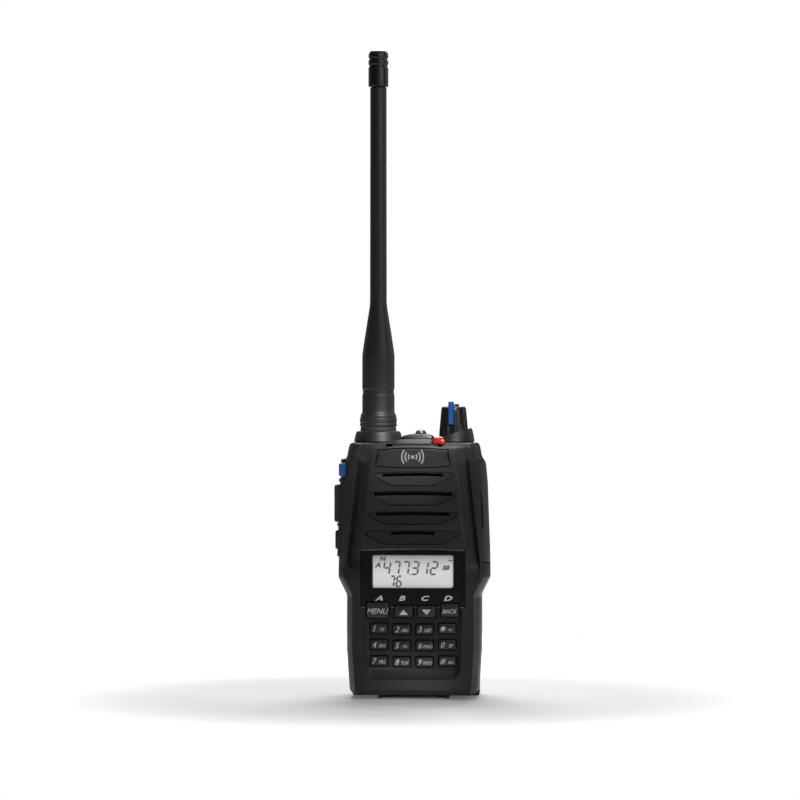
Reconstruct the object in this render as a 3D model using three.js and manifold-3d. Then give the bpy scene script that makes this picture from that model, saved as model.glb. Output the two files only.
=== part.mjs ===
// Handheld two-way radio, in millimetres. +Z is up, the keypad faces -Y and +X is on the right of someone
// who reads the display. The origin is on the flat base, on the centre line.
import * as THREE from 'three';
import { mergeVertices } from 'three/addons/utils/BufferGeometryUtils.js';
import { ConvexGeometry } from 'three/addons/geometries/ConvexGeometry.js';
import Module from 'manifold-3d';

const wasm = await Module();
wasm.setup();

// ---- Driving dimensions ----

const GAP = 0.3; // clearance between neighbours
const WALL = 2.2; // case wall

const FRONT_Y = -19; // foremost line of the front face
const CROWN = 1.0; // how far the front face falls back at the edge of its centre panel
const PANEL_HALF = 21.2; // half width of the centre panel at the display
const SHELL_BACK_Y = 1.5; // rear edge of the front shell beside the battery
const SHELL_BASE_Z = 1.9;
const SHELL_TOP_Z = 104.6;
const CAVITY = { front: -16, flank: -12.4, base: 4.2, waist: 49.5, roof: 101.5 };

// Stations up the body: height, half width, half width of the centre panel, centre of the side channel, its
// depth below the front face, and how far the front is set back.
const STATIONS = [
  { z: SHELL_BASE_Z, half: 25.0, panel: 20.2, channel: 22.6, depth: 0.3, setback: 0.9 },
  { z: 3.3, half: 26.4, panel: 20.4, channel: 23.2, depth: 0.4, setback: 0 },
  { z: 20.0, half: 27.6, panel: 21.0, channel: 24.0, depth: 0.5, setback: 0 },
  { z: 42.4, half: 27.5, panel: 21.2, channel: 24.2, depth: 0.6, setback: 0 },
  { z: 49.4, half: 31.0, panel: 21.2, channel: 26.4, depth: 0.9, setback: 0 },
  { z: 52.5, half: 31.0, panel: 21.2, channel: 26.8, depth: 1.6, setback: 0 },
  { z: 56.5, half: 30.9, panel: 21.2, channel: 26.6, depth: 4.0, setback: 0 },
  { z: 62.2, half: 30.8, panel: 21.2, channel: 26.0, depth: 4.0, setback: 0 },
  { z: 88.0, half: 29.9, panel: 18.4, channel: 23.1, depth: 3.8, setback: 0 },
  { z: 96.6, half: 29.1, panel: 17.4, channel: 22.1, depth: 3.6, setback: 0.1 },
  { z: 98.8, half: 27.5, panel: 17.1, channel: 21.9, depth: 2.0, setback: 0.2 },
  { z: 102.8, half: 26.8, panel: 16.6, channel: 21.4, depth: 1.0, setback: 0.4 },
  { z: SHELL_TOP_Z, half: 26.1, panel: 16.2, channel: 21.0, depth: 0.8, setback: 1.5 },
];

const TOP_AXIS_Y = -2; // antenna, knob and their collars
const ANTENNA_X = -15.1;
const KNOB_X = 15.9;
// Collars on top of the case: radius and height, from the axis out and back.
const ANTENNA_COLLAR = [[0, 102], [10.2, 104], [9.85, 105.4], [9.2, 108.6], [8.6, 109.3], [0, 109.3]];
const KNOB_COLLAR = [[0, 102], [8.9, 104], [8.4, 105.4], [7.9, 108.5], [7.4, 110.4], [6.9, 110.9], [0, 110.9]];
const HOOD = { half: 25.8, back: 15.5, base: 88.3, top: 104.3 };

const LOUVRES = [
  { top: 92.3, base: 87.1, half: 16.1, foot: 8.4, slot: 12.4 },
  { top: 84.5, base: 79.3, half: 17.5, foot: 9.6, slot: 15.9 },
  { top: 76.4, base: 71.5, half: 18.4, foot: 11.4, slot: 14.9 },
  { top: 68.6, base: 63.5, half: 19.2, foot: 12.0, slot: 8.9 },
];
const SLOT_HEIGHT = 1.3;

const LENS = { base: 37.7, top: 61.1, back: -17.2, front: 0.1 };
const LCD_WINDOW = { half: 16.7, base: 45.2, top: 59.2 };
const MIC_HOLE = { x: -18.9, z: 67.2, radius: 0.6 };
const TORCH = { x: 2.7, y: -7 };
const STATUS_LED = { x: [7.9, 13.9], y: [-17.7, -14.0], base: 103.4, top: 107.4 };
const NAMEPLATE = { top: 101.7, base: 95.3, topHalf: 14.2, baseHalf: 15.3, bow: 0.8 };
const KEYPAD = { floor: -17.3, base: 11.6, bevel: 3.5, half: 18.2, topHalf: 20.8 };

const KEY_TRAVEL_GAP = 0.9; // from the back of a key to the mat behind it
const MAT_FRONT_Y = -13.9;
const NUMBER_KEY = { width: 7.0, height: 4.15, pitch: 9.3, rows: [28.7, 22.1, 15.4] };
const NUMBER_LAYOUT = [
  ['key_1', 'key_2', 'key_3', 'key_star'],
  ['key_4', 'key_5', 'key_6', 'key_0'],
  ['key_7', 'key_8', 'key_9', 'key_hash'],
];
const KEYPAD_CENTRE_X = 0.1;
const KEY_SMILE = 0.33; // how much higher the outer keys of a row sit
const FUNCTION_KEYS = [
  { name: 'key_menu', x: -14.3, z: 36.5, width: 9.2, height: 6.8 },
  { name: 'key_up', x: -3.7, z: 36.05, width: 7.4, height: 5.1 },
  { name: 'key_down', x: 5.6, z: 36.05, width: 7.4, height: 5.1 },
  { name: 'key_back', x: 15.1, z: 36.5, width: 7.4, height: 5.6 },
];

const SIDE_KEYS = [
  { name: 'side_key_upper', base: 90.8, top: 96.3, face: -31.1, y: [-10.6, -5.4], travel: 0.6 },
  { name: 'ptt_bar', base: 72.1, top: 87.4, face: -33.0, y: [-12.0, -4.0], travel: 1.2 },
  { name: 'side_key_lower', base: 61.0, top: 68.7, face: -32.3, y: [-11.0, -5.0], travel: 0.6 },
];
const SIDE_KEY_BEVEL = 0.6;
const SIDE_BOARD_X = -25.9; // face of the side key board
const SIDE_FRAME = { base: 58.0, top: 98.0, lowFace: 31.3, highFace: 29.7, depth: 1.3, y: [-13.2, -2.8] };

const COVER = { base: 56.0, top: 97.0, lowFace: 31.0, highFace: 29.2, depth: 1.4, front: -13.5, back: -2.0 };
const JACKS = [
  { z: 86.0, bore: 1.75 },
  { z: 75.0, bore: 1.25 },
];
const JACK_Y = -7.6;

const BATTERY = { half: 26.2, front: 4.8, back: 17.5, top: 87.9, wall: 1.3, chamfer: 3.0 };
const FOOT = { half: 14.5, front: -13.0, height: 1.6 };
const LATCH_SLOT_BACK = -0.4;
const LATCH = { half: 9.6, front: -12.6, back: -4.6, base: 0.7, top: 1.3 };
const CLIP = {
  pivotY: 21.6,
  pivotZ: 76.0,
  pinRadius: 0.95,
  half: 10.5,
  inner: 21.9,
  sheet: 1.5,
  tip: 30.0,
  tab: 87.0,
  ear: 1.6,
};

const ANTENNA_TOP_Z = 266;
const KNOB = { base: 105.6, top: 119.4, baseRadius: 6.3, topRadius: 5.05, flutes: 12, flute: 0.45 };
const MARKER = { radius: 4.95, deep: 2.1, wide: 2.2, tall: 9.6, middle: 116.7 };
const MARKER_TURN = -Math.PI / 2 - 0.16; // direction of the marker rib at rest, seen from above

// ---- Materials ----

const finish = (color, roughness, metalness = 0) => new THREE.MeshStandardMaterial({ color, roughness, metalness });
const CASE_PLASTIC = finish(0x2b2c2e, 0.62);
const KEY_PLASTIC = finish(0x34373d, 0.55);
const GLOSS_BLACK = finish(0x141516, 0.18);
const BLUE_PLASTIC = finish(0x1f6cc4, 0.4);
const RED_LIGHT = finish(0xc8322d, 0.25);
const CLEAR_LENS = finish(0xdfe5e8, 0.08);
const LCD_GREY = finish(0xc9cdcb, 0.35);
const RUBBER = finish(0x232425, 0.85);
const WHIP_RUBBER = finish(0x2a2b2c, 0.7);
const DIE_CAST = finish(0x8b8e90, 0.45, 0.9);
const STEEL = finish(0xb4b7ba, 0.35, 1);
const BRASS = finish(0xc9a349, 0.3, 1);
const BOARD_GREEN = finish(0x1f5a3a, 0.5);
const DARK_MESH = finish(0x101010, 0.95);
const CELL_WRAP = finish(0x3f6fa8, 0.5);

// ---- Solids from three.js geometries ----

function signedVolume(position, index) {
  const [a, b, c] = [new THREE.Vector3(), new THREE.Vector3(), new THREE.Vector3()];
  let volume = 0;
  for (let i = 0; i < index.count; i += 3) {
    a.fromBufferAttribute(position, index.getX(i));
    b.fromBufferAttribute(position, index.getX(i + 1));
    c.fromBufferAttribute(position, index.getX(i + 2));
    volume += a.dot(b.cross(c)) / 6;
  }
  return volume;
}

// A closed solid of a three.js geometry: vertices shared, faces pointing out.
function solid(geometry) {
  geometry.deleteAttribute('normal');
  geometry.deleteAttribute('uv');
  const merged = mergeVertices(geometry, 1e-4);
  const triVerts = new Uint32Array(merged.index.array);
  if (signedVolume(merged.attributes.position, merged.index) < 0) {
    triVerts.reverse();
  }
  const vertProperties = new Float32Array(merged.attributes.position.array);
  return new wasm.Manifold(new wasm.Mesh({ numProp: 3, vertProperties, triVerts }));
}

const joined = (...parts) => parts.reduce((sum, part) => sum.add(part));
const cut = (body, ...tools) => tools.reduce((rest, tool) => rest.subtract(tool), body);

function box([x0, x1], [y0, y1], [z0, z1]) {
  const geometry = new THREE.BoxGeometry(x1 - x0, y1 - y0, z1 - z0);
  return solid(geometry.translate((x0 + x1) / 2, (y0 + y1) / 2, (z0 + z1) / 2));
}

const outline = (points) => new THREE.Shape(points.map(([x, y]) => new THREE.Vector2(x, y)));

// A plate whose outline is drawn in X and Z, from the plane y0 back to y1.
function plate(shape, y0, y1, curveSegments = 6) {
  const geometry = new THREE.ExtrudeGeometry(shape, { depth: y1 - y0, bevelEnabled: false, curveSegments });
  return solid(geometry.rotateX(Math.PI / 2).translate(0, y1, 0));
}

// A column whose outline is drawn in X and Y, from z0 up to z1.
function column(shape, z0, z1, curveSegments = 6) {
  const geometry = new THREE.ExtrudeGeometry(shape, { depth: z1 - z0, bevelEnabled: false, curveSegments });
  return solid(geometry.translate(0, 0, z0));
}

function roundedRectangle(x0, x1, y0, y1, radius) {
  const shape = new THREE.Shape();
  shape.moveTo(x0 + radius, y0);
  shape.lineTo(x1 - radius, y0);
  shape.absarc(x1 - radius, y0 + radius, radius, -Math.PI / 2, 0);
  shape.lineTo(x1, y1 - radius);
  shape.absarc(x1 - radius, y1 - radius, radius, 0, Math.PI / 2);
  shape.lineTo(x0 + radius, y1);
  shape.absarc(x0 + radius, y1 - radius, radius, Math.PI / 2, Math.PI);
  shape.lineTo(x0, y0 + radius);
  shape.absarc(x0 + radius, y0 + radius, radius, Math.PI, Math.PI * 1.5);
  return shape;
}

// A turned piece: its profile is radius and height, from the axis to the axis, at (x, y).
function turned(profile, x, y, segments = 24) {
  const geometry = new THREE.LatheGeometry(profile.map(([r, z]) => new THREE.Vector2(r, z)), segments);
  return solid(geometry.rotateX(Math.PI / 2).translate(x, y, 0));
}

function rod(radius, z0, z1, x, y, segments = 20) {
  return turned([[0, z0], [radius, z0], [radius, z1], [0, z1]], x, y, segments);
}

// A round bar along X or Y through the given centre.
function bar(axis, radius, from, to, centre, segments = 20) {
  const geometry = new THREE.CylinderGeometry(radius, radius, to - from, segments);
  const middle = (from + to) / 2;
  if (axis === 'x') {
    return solid(geometry.rotateZ(Math.PI / 2).translate(middle, centre[0], centre[1]));
  }
  return solid(geometry.translate(0, middle, 0).translate(centre[0], 0, centre[1]));
}

const hull = (points) => solid(new ConvexGeometry(points.map((p) => new THREE.Vector3(...p))));

// A solid between closed sections with the same number of points, capped at both ends.
function loft(sections) {
  const count = sections[0].length;
  const vertices = sections.flat();
  const index = [];
  for (let s = 0; s + 1 < sections.length; s += 1) {
    for (let i = 0; i < count; i += 1) {
      const a = s * count + i;
      const b = s * count + ((i + 1) % count);
      index.push(a, b, b + count, a, b + count, a + count);
    }
  }
  const cap = (section) => section.map((p) => new THREE.Vector2(p.x, p.y));
  const last = (sections.length - 1) * count;
  for (const [a, b, c] of THREE.ShapeUtils.triangulateShape(cap(sections[0]), [])) {
    index.push(a, c, b);
  }
  for (const [a, b, c] of THREE.ShapeUtils.triangulateShape(cap(sections[sections.length - 1]), [])) {
    index.push(last + a, last + b, last + c);
  }
  const geometry = new THREE.BufferGeometry().setFromPoints(vertices);
  geometry.setIndex(index);
  return solid(geometry);
}

const radio = new THREE.Group();

function place(name, body, material) {
  const { vertProperties, triVerts } = body.getMesh();
  const geometry = new THREE.BufferGeometry();
  geometry.setAttribute('position', new THREE.BufferAttribute(vertProperties, 3));
  geometry.setIndex(new THREE.BufferAttribute(triVerts, 1));
  geometry.computeVertexNormals();
  const mesh = new THREE.Mesh(geometry, material);
  mesh.name = name;
  radio.add(mesh);
}

// ---- Case ----

// The front face's Y at a distance x from the centre line.
const faceY = (x) => FRONT_Y + CROWN * (x / PANEL_HALF) ** 2;

// One closed section of the front shell at a station.
function shellSection({ z, half, panel, channel, depth, setback }) {
  const railInner = (channel + half) / 2 - 0.4;
  const side = half - 2.6;
  const rail = Math.min(depth, 2.2);
  const right = [
    [panel * 0.5, faceY(panel * 0.5)],
    [panel, faceY(panel)],
    [channel, faceY(panel) + depth],
    [railInner, faceY(panel) + rail * 0.75 + 0.2],
    [side, faceY(panel) + rail * 0.75 + 0.7],
    [half - 0.3, -12.6],
    [half, -9],
    [half, SHELL_BACK_Y],
  ].map(([x, y]) => new THREE.Vector3(x, y < SHELL_BACK_Y ? y + setback : y, z));
  const left = right.map((p) => new THREE.Vector3(-p.x, p.y, p.z)).reverse();
  return [...left, new THREE.Vector3(0, FRONT_Y + setback, z), ...right];
}

// The slab between two offsets behind the crowned front face.
function crowned(front, back, half, z0, z1) {
  const steps = 10;
  const points = [];
  for (let i = 0; i <= steps; i += 1) {
    const x = half * ((2 * i) / steps - 1);
    points.push([x, faceY(x) + front]);
  }
  points.push([half, back], [-half, back]);
  return column(outline(points), z0, z1);
}

// A face that slopes from the low face to the high face of a side pocket, as a slab of the given thickness.
function sideSlab({ base, top, lowFace, highFace }, side, outer, inner, [y0, y1], [z0, z1]) {
  const face = (z) => lowFace + ((highFace - lowFace) * (z - base)) / (top - base);
  const corners = [];
  for (const z of [z0, z1]) {
    for (const y of [y0, y1]) {
      corners.push([side * (face(z) + outer), y, z], [side * (face(z) - inner), y, z]);
    }
  }
  return hull(corners);
}

function nameplateShape(grow) {
  const { top, base, topHalf, baseHalf, bow } = NAMEPLATE;
  const shape = new THREE.Shape();
  shape.moveTo(-baseHalf - grow, base - grow);
  shape.quadraticCurveTo(0, base - grow - 2 * bow, baseHalf + grow, base - grow);
  shape.lineTo(topHalf + grow, top + grow);
  shape.quadraticCurveTo(0, top + grow + 2 * bow, -topHalf - grow, top + grow);
  return shape;
}

// A louvre's scoop, deepest along its top, where the slot goes through.
function louvreScoop({ top, base, half, foot }) {
  const end = (top - base) * 0.35;
  const front = FRONT_Y - 1;
  const shallow = (x) => faceY(x) + 0.25;
  const deep = (x) => faceY(x) + 1.3;
  const points = [];
  for (const side of [-1, 1]) {
    points.push([side * half, front, top], [side * half, front, top - end], [side * foot, front, base]);
    points.push([side * half, shallow(half) + 0.5, top], [side * half, shallow(half), top - end]);
    points.push([side * foot, shallow(foot), base], [side * foot, deep(foot), top]);
  }
  return hull(points);
}

const numberKeys = NUMBER_LAYOUT.flatMap((names, row) =>
  names.map((name, index) => {
    const offset = index - (names.length - 1) / 2;
    const outer = Math.abs(offset) > 1;
    return {
      name,
      x: KEYPAD_CENTRE_X + offset * NUMBER_KEY.pitch,
      z: NUMBER_KEY.rows[row] + (outer ? KEY_SMILE : 0),
      width: NUMBER_KEY.width,
      height: NUMBER_KEY.height,
    };
  }),
);
const keys = [...FUNCTION_KEYS, ...numberKeys];

const keyHole = ({ x, z, width, height }, gap) =>
  plate(
    roundedRectangle(x - width / 2 - gap, x + width / 2 + gap, z - height / 2 - gap, z + height / 2 + gap, 0.7),
    FRONT_Y - 1,
    CAVITY.front + 1,
    2,
  );

function keypadRecess() {
  const { base, bevel, half, topHalf, floor } = KEYPAD;
  const points = [];
  for (const side of [-1, 1]) {
    points.push([side * half, floor, base], [side * topHalf, floor, LENS.base]);
    points.push([side * topHalf, FRONT_Y - 1, LENS.base], [side * (half + 0.4), FRONT_Y - 1, base]);
    points.push([side * (half - 2.2), FRONT_Y - 1, base - bevel - 2]);
  }
  return hull(points);
}

const knobCollarCut = () => {
  const block = new THREE.BoxGeometry(30, 30, 10).translate(0, 0, 5);
  return solid(block.rotateY(-0.32).translate(KNOB_X, TOP_AXIS_Y, 108.2));
};

function frontShell() {
  const outer = joined(
    loft(STATIONS.map(shellSection)),
    column(roundedRectangle(-HOOD.half, HOOD.half, SHELL_BACK_Y - 2, HOOD.back, 3), HOOD.base, HOOD.top, 3),
    plate(outline([[-13, 103], [14, 103], [12, 104.9], [8, 105.8], [-5, 105.8], [-10, 105.2]]), -17.3, 11),
    plate(outline([[-5.8, 104], [8.4, 104], [7.6, 108], [-4.8, 108]]), -11.5, 2),
    turned(ANTENNA_COLLAR, ANTENNA_X, TOP_AXIS_Y),
    cut(turned(KNOB_COLLAR, KNOB_X, TOP_AXIS_Y), knobCollarCut()),
  );
  const { front, flank, base, waist, roof } = CAVITY;
  const hollow = joined(
    box([-19.4, 19.4], [front, flank + 1], [base, 62]),
    box([-15.4, 15.4], [front, flank + 1], [61, roof - 1]),
    box([-25.1, 25.1], [flank, SHELL_BACK_Y + 1], [base, waist]),
    box([-26.8, 26.8], [flank, SHELL_BACK_Y + 1], [waist - 1, 96]),
    box([-23.6, 23.6], [flank, HOOD.back - WALL], [HOOD.base - 1, roof]),
  );
  const openings = [
    ...keys.map((key) => keyHole(key, GAP)),
    ...LOUVRES.map(louvreScoop),
    ...LOUVRES.map(({ top, slot }) => box([-slot, slot], [FRONT_Y - 1, front + 1], [top - SLOT_HEIGHT, top])),
    keypadRecess(),
    crowned(-1.5, LENS.back + GAP, PANEL_HALF + GAP, LENS.base, LENS.top + GAP),
    plate(
      roundedRectangle(-LCD_WINDOW.half, LCD_WINDOW.half, LCD_WINDOW.base, LCD_WINDOW.top, 0.5),
      FRONT_Y,
      front + 1,
      2,
    ),
    plate(nameplateShape(GAP), FRONT_Y - 1, -17.6, 6),
    bar('y', MIC_HOLE.radius, FRONT_Y - 1, front + 5, [MIC_HOLE.x, MIC_HOLE.z], 8),
    rod(3.6, 100, 110, ANTENNA_X, TOP_AXIS_Y),
    rod(6.7, 105.2, 115, KNOB_X, TOP_AXIS_Y),
    rod(3.7, 100, 110, KNOB_X, TOP_AXIS_Y),
    rod(2.0, 100, 109, TORCH.x, TORCH.y, 12),
    box(
      [STATUS_LED.x[0] - GAP, STATUS_LED.x[1] + GAP],
      [FRONT_Y - 1, STATUS_LED.y[1] + GAP],
      [STATUS_LED.base - GAP, 110],
    ),
    sideSlab(SIDE_FRAME, -1, 1, SIDE_FRAME.depth + GAP, [-13.5, -2.5], [57.7, 98.3]),
    ...SIDE_KEYS.map((k) => box([-34, -24], [k.y[0] - GAP, k.y[1] + GAP], [k.base - GAP, k.top + GAP])),
    sideSlab(COVER, 1, 1, COVER.depth + GAP, [COVER.front - GAP, COVER.back], [COVER.base - GAP, COVER.top + GAP]),
    ...JACKS.map(({ z }) => bar('x', 3.0, 24, 32, [JACK_Y, z], 16)),
  ];
  return cut(outer, hollow, ...openings);
}

place('front_shell', frontShell(), CASE_PLASTIC);

place(
  'rear_chassis',
  cut(
    joined(
      plate(outline([[-24.8, 2.4], [24.8, 2.4], [26.4, 6], [26.8, 42.6], [29, 50], [28.6, 87.9], [-28.6, 87.9],
        [-29, 50], [-26.8, 42.6], [-26.4, 6]]), 1.8, 4.4),
      box([-22.6, 22.6], [1.8, 4.4], [87.5, 91.4]),
      box([-22.6, 22.6], [4, 12.9], [88.4, 91.4]),
    ),
    box([-9.3, 9.3], [1, 5], [6.7, 13.3]),
  ),
  DIE_CAST,
);

const gasketShape = outline([[-24.7, 4.6], [24.7, 4.6], [24.7, 87.6], [-24.7, 87.6]]);
gasketShape.holes.push(outline([[-23.5, 5.8], [23.5, 5.8], [23.5, 86.4], [-23.5, 86.4]]));
place('case_gasket', plate(gasketShape, 0.3, 1.5), RUBBER);

place('nameplate', crowned(0, -17.9, 18, 90, 106).intersect(plate(nameplateShape(0), -20, -17, 6)), CASE_PLASTIC);

// ---- Display and keypad ----

place(
  'display_lens',
  cut(
    crowned(LENS.front, LENS.back, PANEL_HALF, LENS.base + GAP, LENS.top),
    ...FUNCTION_KEYS.map((key) => keyHole(key, GAP)),
  ),
  GLOSS_BLACK,
);

place('lcd_module', box([-16.3, 16.3], [-16.8, -13.6], [45.6, 58.8]), LCD_GREY);

// A key: a block with a chamfered crown that follows the front face.
function keyBody({ x, z, width, height }, rise) {
  const corners = [];
  const back = MAT_FRONT_Y - KEY_TRAVEL_GAP;
  for (const sx of [-0.5, 0.5]) {
    for (const sz of [-0.5, 0.5]) {
      const edge = [x + sx * width, z + sz * height];
      const crest = [x + sx * (width - 0.9), z + sz * (height - 0.9)];
      corners.push([edge[0], back, edge[1]], [edge[0], faceY(x) - rise + 0.45, edge[1]]);
      corners.push([crest[0], faceY(crest[0]) - rise, crest[1]]);
    }
  }
  return hull(corners);
}

for (const key of FUNCTION_KEYS) {
  place(key.name, keyBody(key, -0.05), KEY_PLASTIC);
}
for (const key of numberKeys) {
  place(key.name, keyBody(key, -0.35), KEY_PLASTIC);
}

place('keypad_mat', box([-19.2, 19.2], [MAT_FRONT_Y, -13.5], [8, 42.5]), RUBBER);
place('front_board', box([-19.2, 19.2], [-13.2, -12.2], [5, 61]), BOARD_GREEN);

// ---- Sound, circuit boards and lights ----

const SPEAKER_Z = 81;
const speakerCone = bar('y', 14.6, -15.3, -13.4, [0, SPEAKER_Z], 28);
const speakerMagnet = bar('y', 8.5, -14, -9, [0, SPEAKER_Z], 20);
place('speaker', joined(speakerCone, speakerMagnet), STEEL);
place('speaker_mesh', box([-15, 15], [-15.8, -15.6], [64.5, 97]), DARK_MESH);
place('microphone', bar('y', 2, -11.9, -10.2, [-18.9, 67.2], 14), STEEL);

place('main_board', box([-22.5, 22.5], [-7.4, -6.0], [6, 90]), BOARD_GREEN);
const canHollow = box([-16.2, 16.2], [-6, -2.4], [40.8, 83.2]);
place('shield_can', cut(box([-17, 17], [-5.7, -1.6], [40, 84]), canHollow), STEEL);

const lightLayer = ([x0, x1], [y0, y1], z) => [[x0, y0, z], [x1, y0, z], [x1, y1, z], [x0, y1, z]];
place(
  'status_led',
  hull([
    ...lightLayer([STATUS_LED.x[0] + 0.4, STATUS_LED.x[1] - 0.4], STATUS_LED.y, STATUS_LED.base),
    ...lightLayer(STATUS_LED.x, STATUS_LED.y, STATUS_LED.base + 1.2),
    ...lightLayer(STATUS_LED.x, STATUS_LED.y, STATUS_LED.top - 1.6),
    ...lightLayer([9.5, 12.3], [-16.6, -14.8], STATUS_LED.top),
  ]),
  RED_LIGHT,
);
place(
  'torch_lens',
  turned([[0, 101], [1.7, 101], [1.7, 108.3], [2.25, 108.3], [2.15, 108.9], [1.7, 109.5], [0.9, 109.9], [0, 110]],
    TORCH.x, TORCH.y, 16),
  CLEAR_LENS,
);

// ---- Antenna ----

place(
  'antenna_connector',
  cut(
    turned([[0, 92], [4.4, 92], [4.4, 101.2], [3.3, 101.2], [3.3, 112.6], [0, 112.6]], ANTENNA_X, TOP_AXIS_Y, 20),
    rod(2.3, 104, 114, ANTENNA_X, TOP_AXIS_Y, 16),
  ),
  BRASS,
);
place(
  'antenna_seal',
  turned([[3.7, 109.7], [7.3, 109.7], [7.3, 110.9], [3.7, 110.9], [3.7, 109.7]], ANTENNA_X, TOP_AXIS_Y),
  RUBBER,
);

const WHIP_PROFILE = [
  [0, 115.4], [7.4, 115.4], [7.4, 115.8], [6.65, 117.1], [6.65, 124], [6.35, 124.2], [6.35, 126.5], [6.65, 126.7],
  [6.65, 140.5], [6.3, 143], [5.7, 147], [4.4, 155.5], [3.6, 160.4], [3.45, 162.5], [3.4, 250.8], [0, 250.8],
];
place(
  'antenna_whip',
  cut(turned(WHIP_PROFILE, ANTENNA_X, TOP_AXIS_Y), rod(1.8, 115, 246, ANTENNA_X, TOP_AXIS_Y, 12)),
  WHIP_RUBBER,
);
place(
  'antenna_collar',
  turned([[3.7, 111.2], [7.2, 111.2], [7.6, 111.7], [7.6, 114.6], [7.2, 115.1], [3.7, 115.1], [3.7, 111.2]],
    ANTENNA_X, TOP_AXIS_Y),
  GLOSS_BLACK,
);
place(
  'antenna_element',
  joined(
    rod(1.3, 106, 245, ANTENNA_X, TOP_AXIS_Y, 10),
    turned([[0, 112.9], [2.6, 112.9], [2.6, 114.9], [0, 114.9]], ANTENNA_X, TOP_AXIS_Y, 10),
  ),
  BRASS,
);
place(
  'antenna_cap',
  turned([[0, 251.1], [3.95, 251.1], [4.1, 251.6], [4.1, 259], [3.8, 259.3], [3.8, 260], [4.1, 260.3], [4.1, 261.8],
    [3.8, 262.1], [3.8, 262.8], [4.1, 263.1], [3.9, 265], [3.1, ANTENNA_TOP_Z], [0, ANTENNA_TOP_Z]],
  ANTENNA_X, TOP_AXIS_Y),
  GLOSS_BLACK,
);

// ---- Volume control ----

function knobSection(z) {
  const { base, top, baseRadius, topRadius, flutes, flute } = KNOB;
  const radius = baseRadius + ((topRadius - baseRadius) * (z - base)) / (top - base);
  const points = [];
  for (let i = 0; i < flutes * 4; i += 1) {
    const angle = (i / (flutes * 4)) * Math.PI * 2;
    const r = i % 4 < 2 ? radius : radius - flute;
    points.push(new THREE.Vector3(KNOB_X + r * Math.cos(angle), TOP_AXIS_Y + r * Math.sin(angle), z));
  }
  return points;
}

function markerRib(grow) {
  const { radius, deep, wide, tall, middle } = MARKER;
  const geometry = new THREE.BoxGeometry(deep + 2 * grow, wide + 2 * grow, tall + 2 * grow);
  geometry.translate(radius, 0, 0).rotateZ(MARKER_TURN);
  return solid(geometry.translate(KNOB_X, TOP_AXIS_Y, middle));
}

place(
  'volume_knob',
  cut(
    loft([knobSection(KNOB.base), knobSection(KNOB.top - 0.6), knobSection(KNOB.top)]),
    rod(3.3, 105, 118, KNOB_X, TOP_AXIS_Y, 16),
    markerRib(GAP),
  ),
  GLOSS_BLACK,
);
place('knob_marker', markerRib(0), BLUE_PLASTIC);
place('volume_shaft', rod(2.9, 103.6, 117.6, KNOB_X, TOP_AXIS_Y, 16), STEEL);
place(
  'volume_pot',
  joined(box([11.4, 20.4], [-6.5, 1.4], [94, 101.2]), rod(3.4, 100, 103.2, KNOB_X, TOP_AXIS_Y, 16)),
  STEEL,
);

// ---- Sides ----

const frameBumps = [[70.4, 71.9], [88.6, 90.0]];
place(
  'side_frame',
  cut(
    joined(
      sideSlab(SIDE_FRAME, -1, 0, SIDE_FRAME.depth, SIDE_FRAME.y, [SIDE_FRAME.base, SIDE_FRAME.top]),
      ...frameBumps.map((span) => sideSlab(SIDE_FRAME, -1, 0.7, SIDE_FRAME.depth, [-11.5, -4.5], span)),
    ),
    ...SIDE_KEYS.map((k) => box([-34, -24], [k.y[0] - GAP, k.y[1] + GAP], [k.base - GAP, k.top + GAP])),
  ),
  CASE_PLASTIC,
);

for (const { name, base, top, face, y, travel } of SIDE_KEYS) {
  const inner = SIDE_BOARD_X - GAP - travel;
  const block = [];
  for (const [z, zInset] of [[base, SIDE_KEY_BEVEL], [top, -SIDE_KEY_BEVEL]]) {
    for (const [along, yInset] of [[y[0], SIDE_KEY_BEVEL], [y[1], -SIDE_KEY_BEVEL]]) {
      block.push([inner, along, z], [face + 0.8, along, z], [face, along + yInset, z + zInset]);
    }
  }
  place(name, hull(block), name === 'side_key_upper' ? BLUE_PLASTIC : RUBBER);
}
place('side_board', box([SIDE_BOARD_X, SIDE_BOARD_X + 0.9], [-12, -3], [59.5, 95.5]), BOARD_GREEN);

place(
  'accessory_cover',
  sideSlab(COVER, 1, 0, COVER.depth, [COVER.front, COVER.back - GAP], [COVER.base, COVER.top]),
  RUBBER,
);
place(
  'accessory_jacks',
  cut(
    joined(
      box([19.8, 26.5], [-11.6, -3.6], [70.5, 90.5]),
      ...JACKS.map(({ z }) => bar('x', 2.6, 26, 27.9, [JACK_Y, z], 16)),
    ),
    ...JACKS.map(({ z, bore }) => bar('x', bore, 21, 30, [JACK_Y, z], 12)),
    box([19, 23], [-7.8, -5.6], [69, 91.5]),
  ),
  GLOSS_BLACK,
);

// ---- Battery ----

const batteryOutline = (inset) => {
  const { half, front, back, chamfer } = BATTERY;
  const h = half - inset;
  const b = back - inset;
  const f = inset > 0 ? front - 1 : front;
  return outline([[-h, f], [h, f], [h, b - chamfer], [h - chamfer, b], [-h + chamfer, b], [-h, b - chamfer]]);
};

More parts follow.
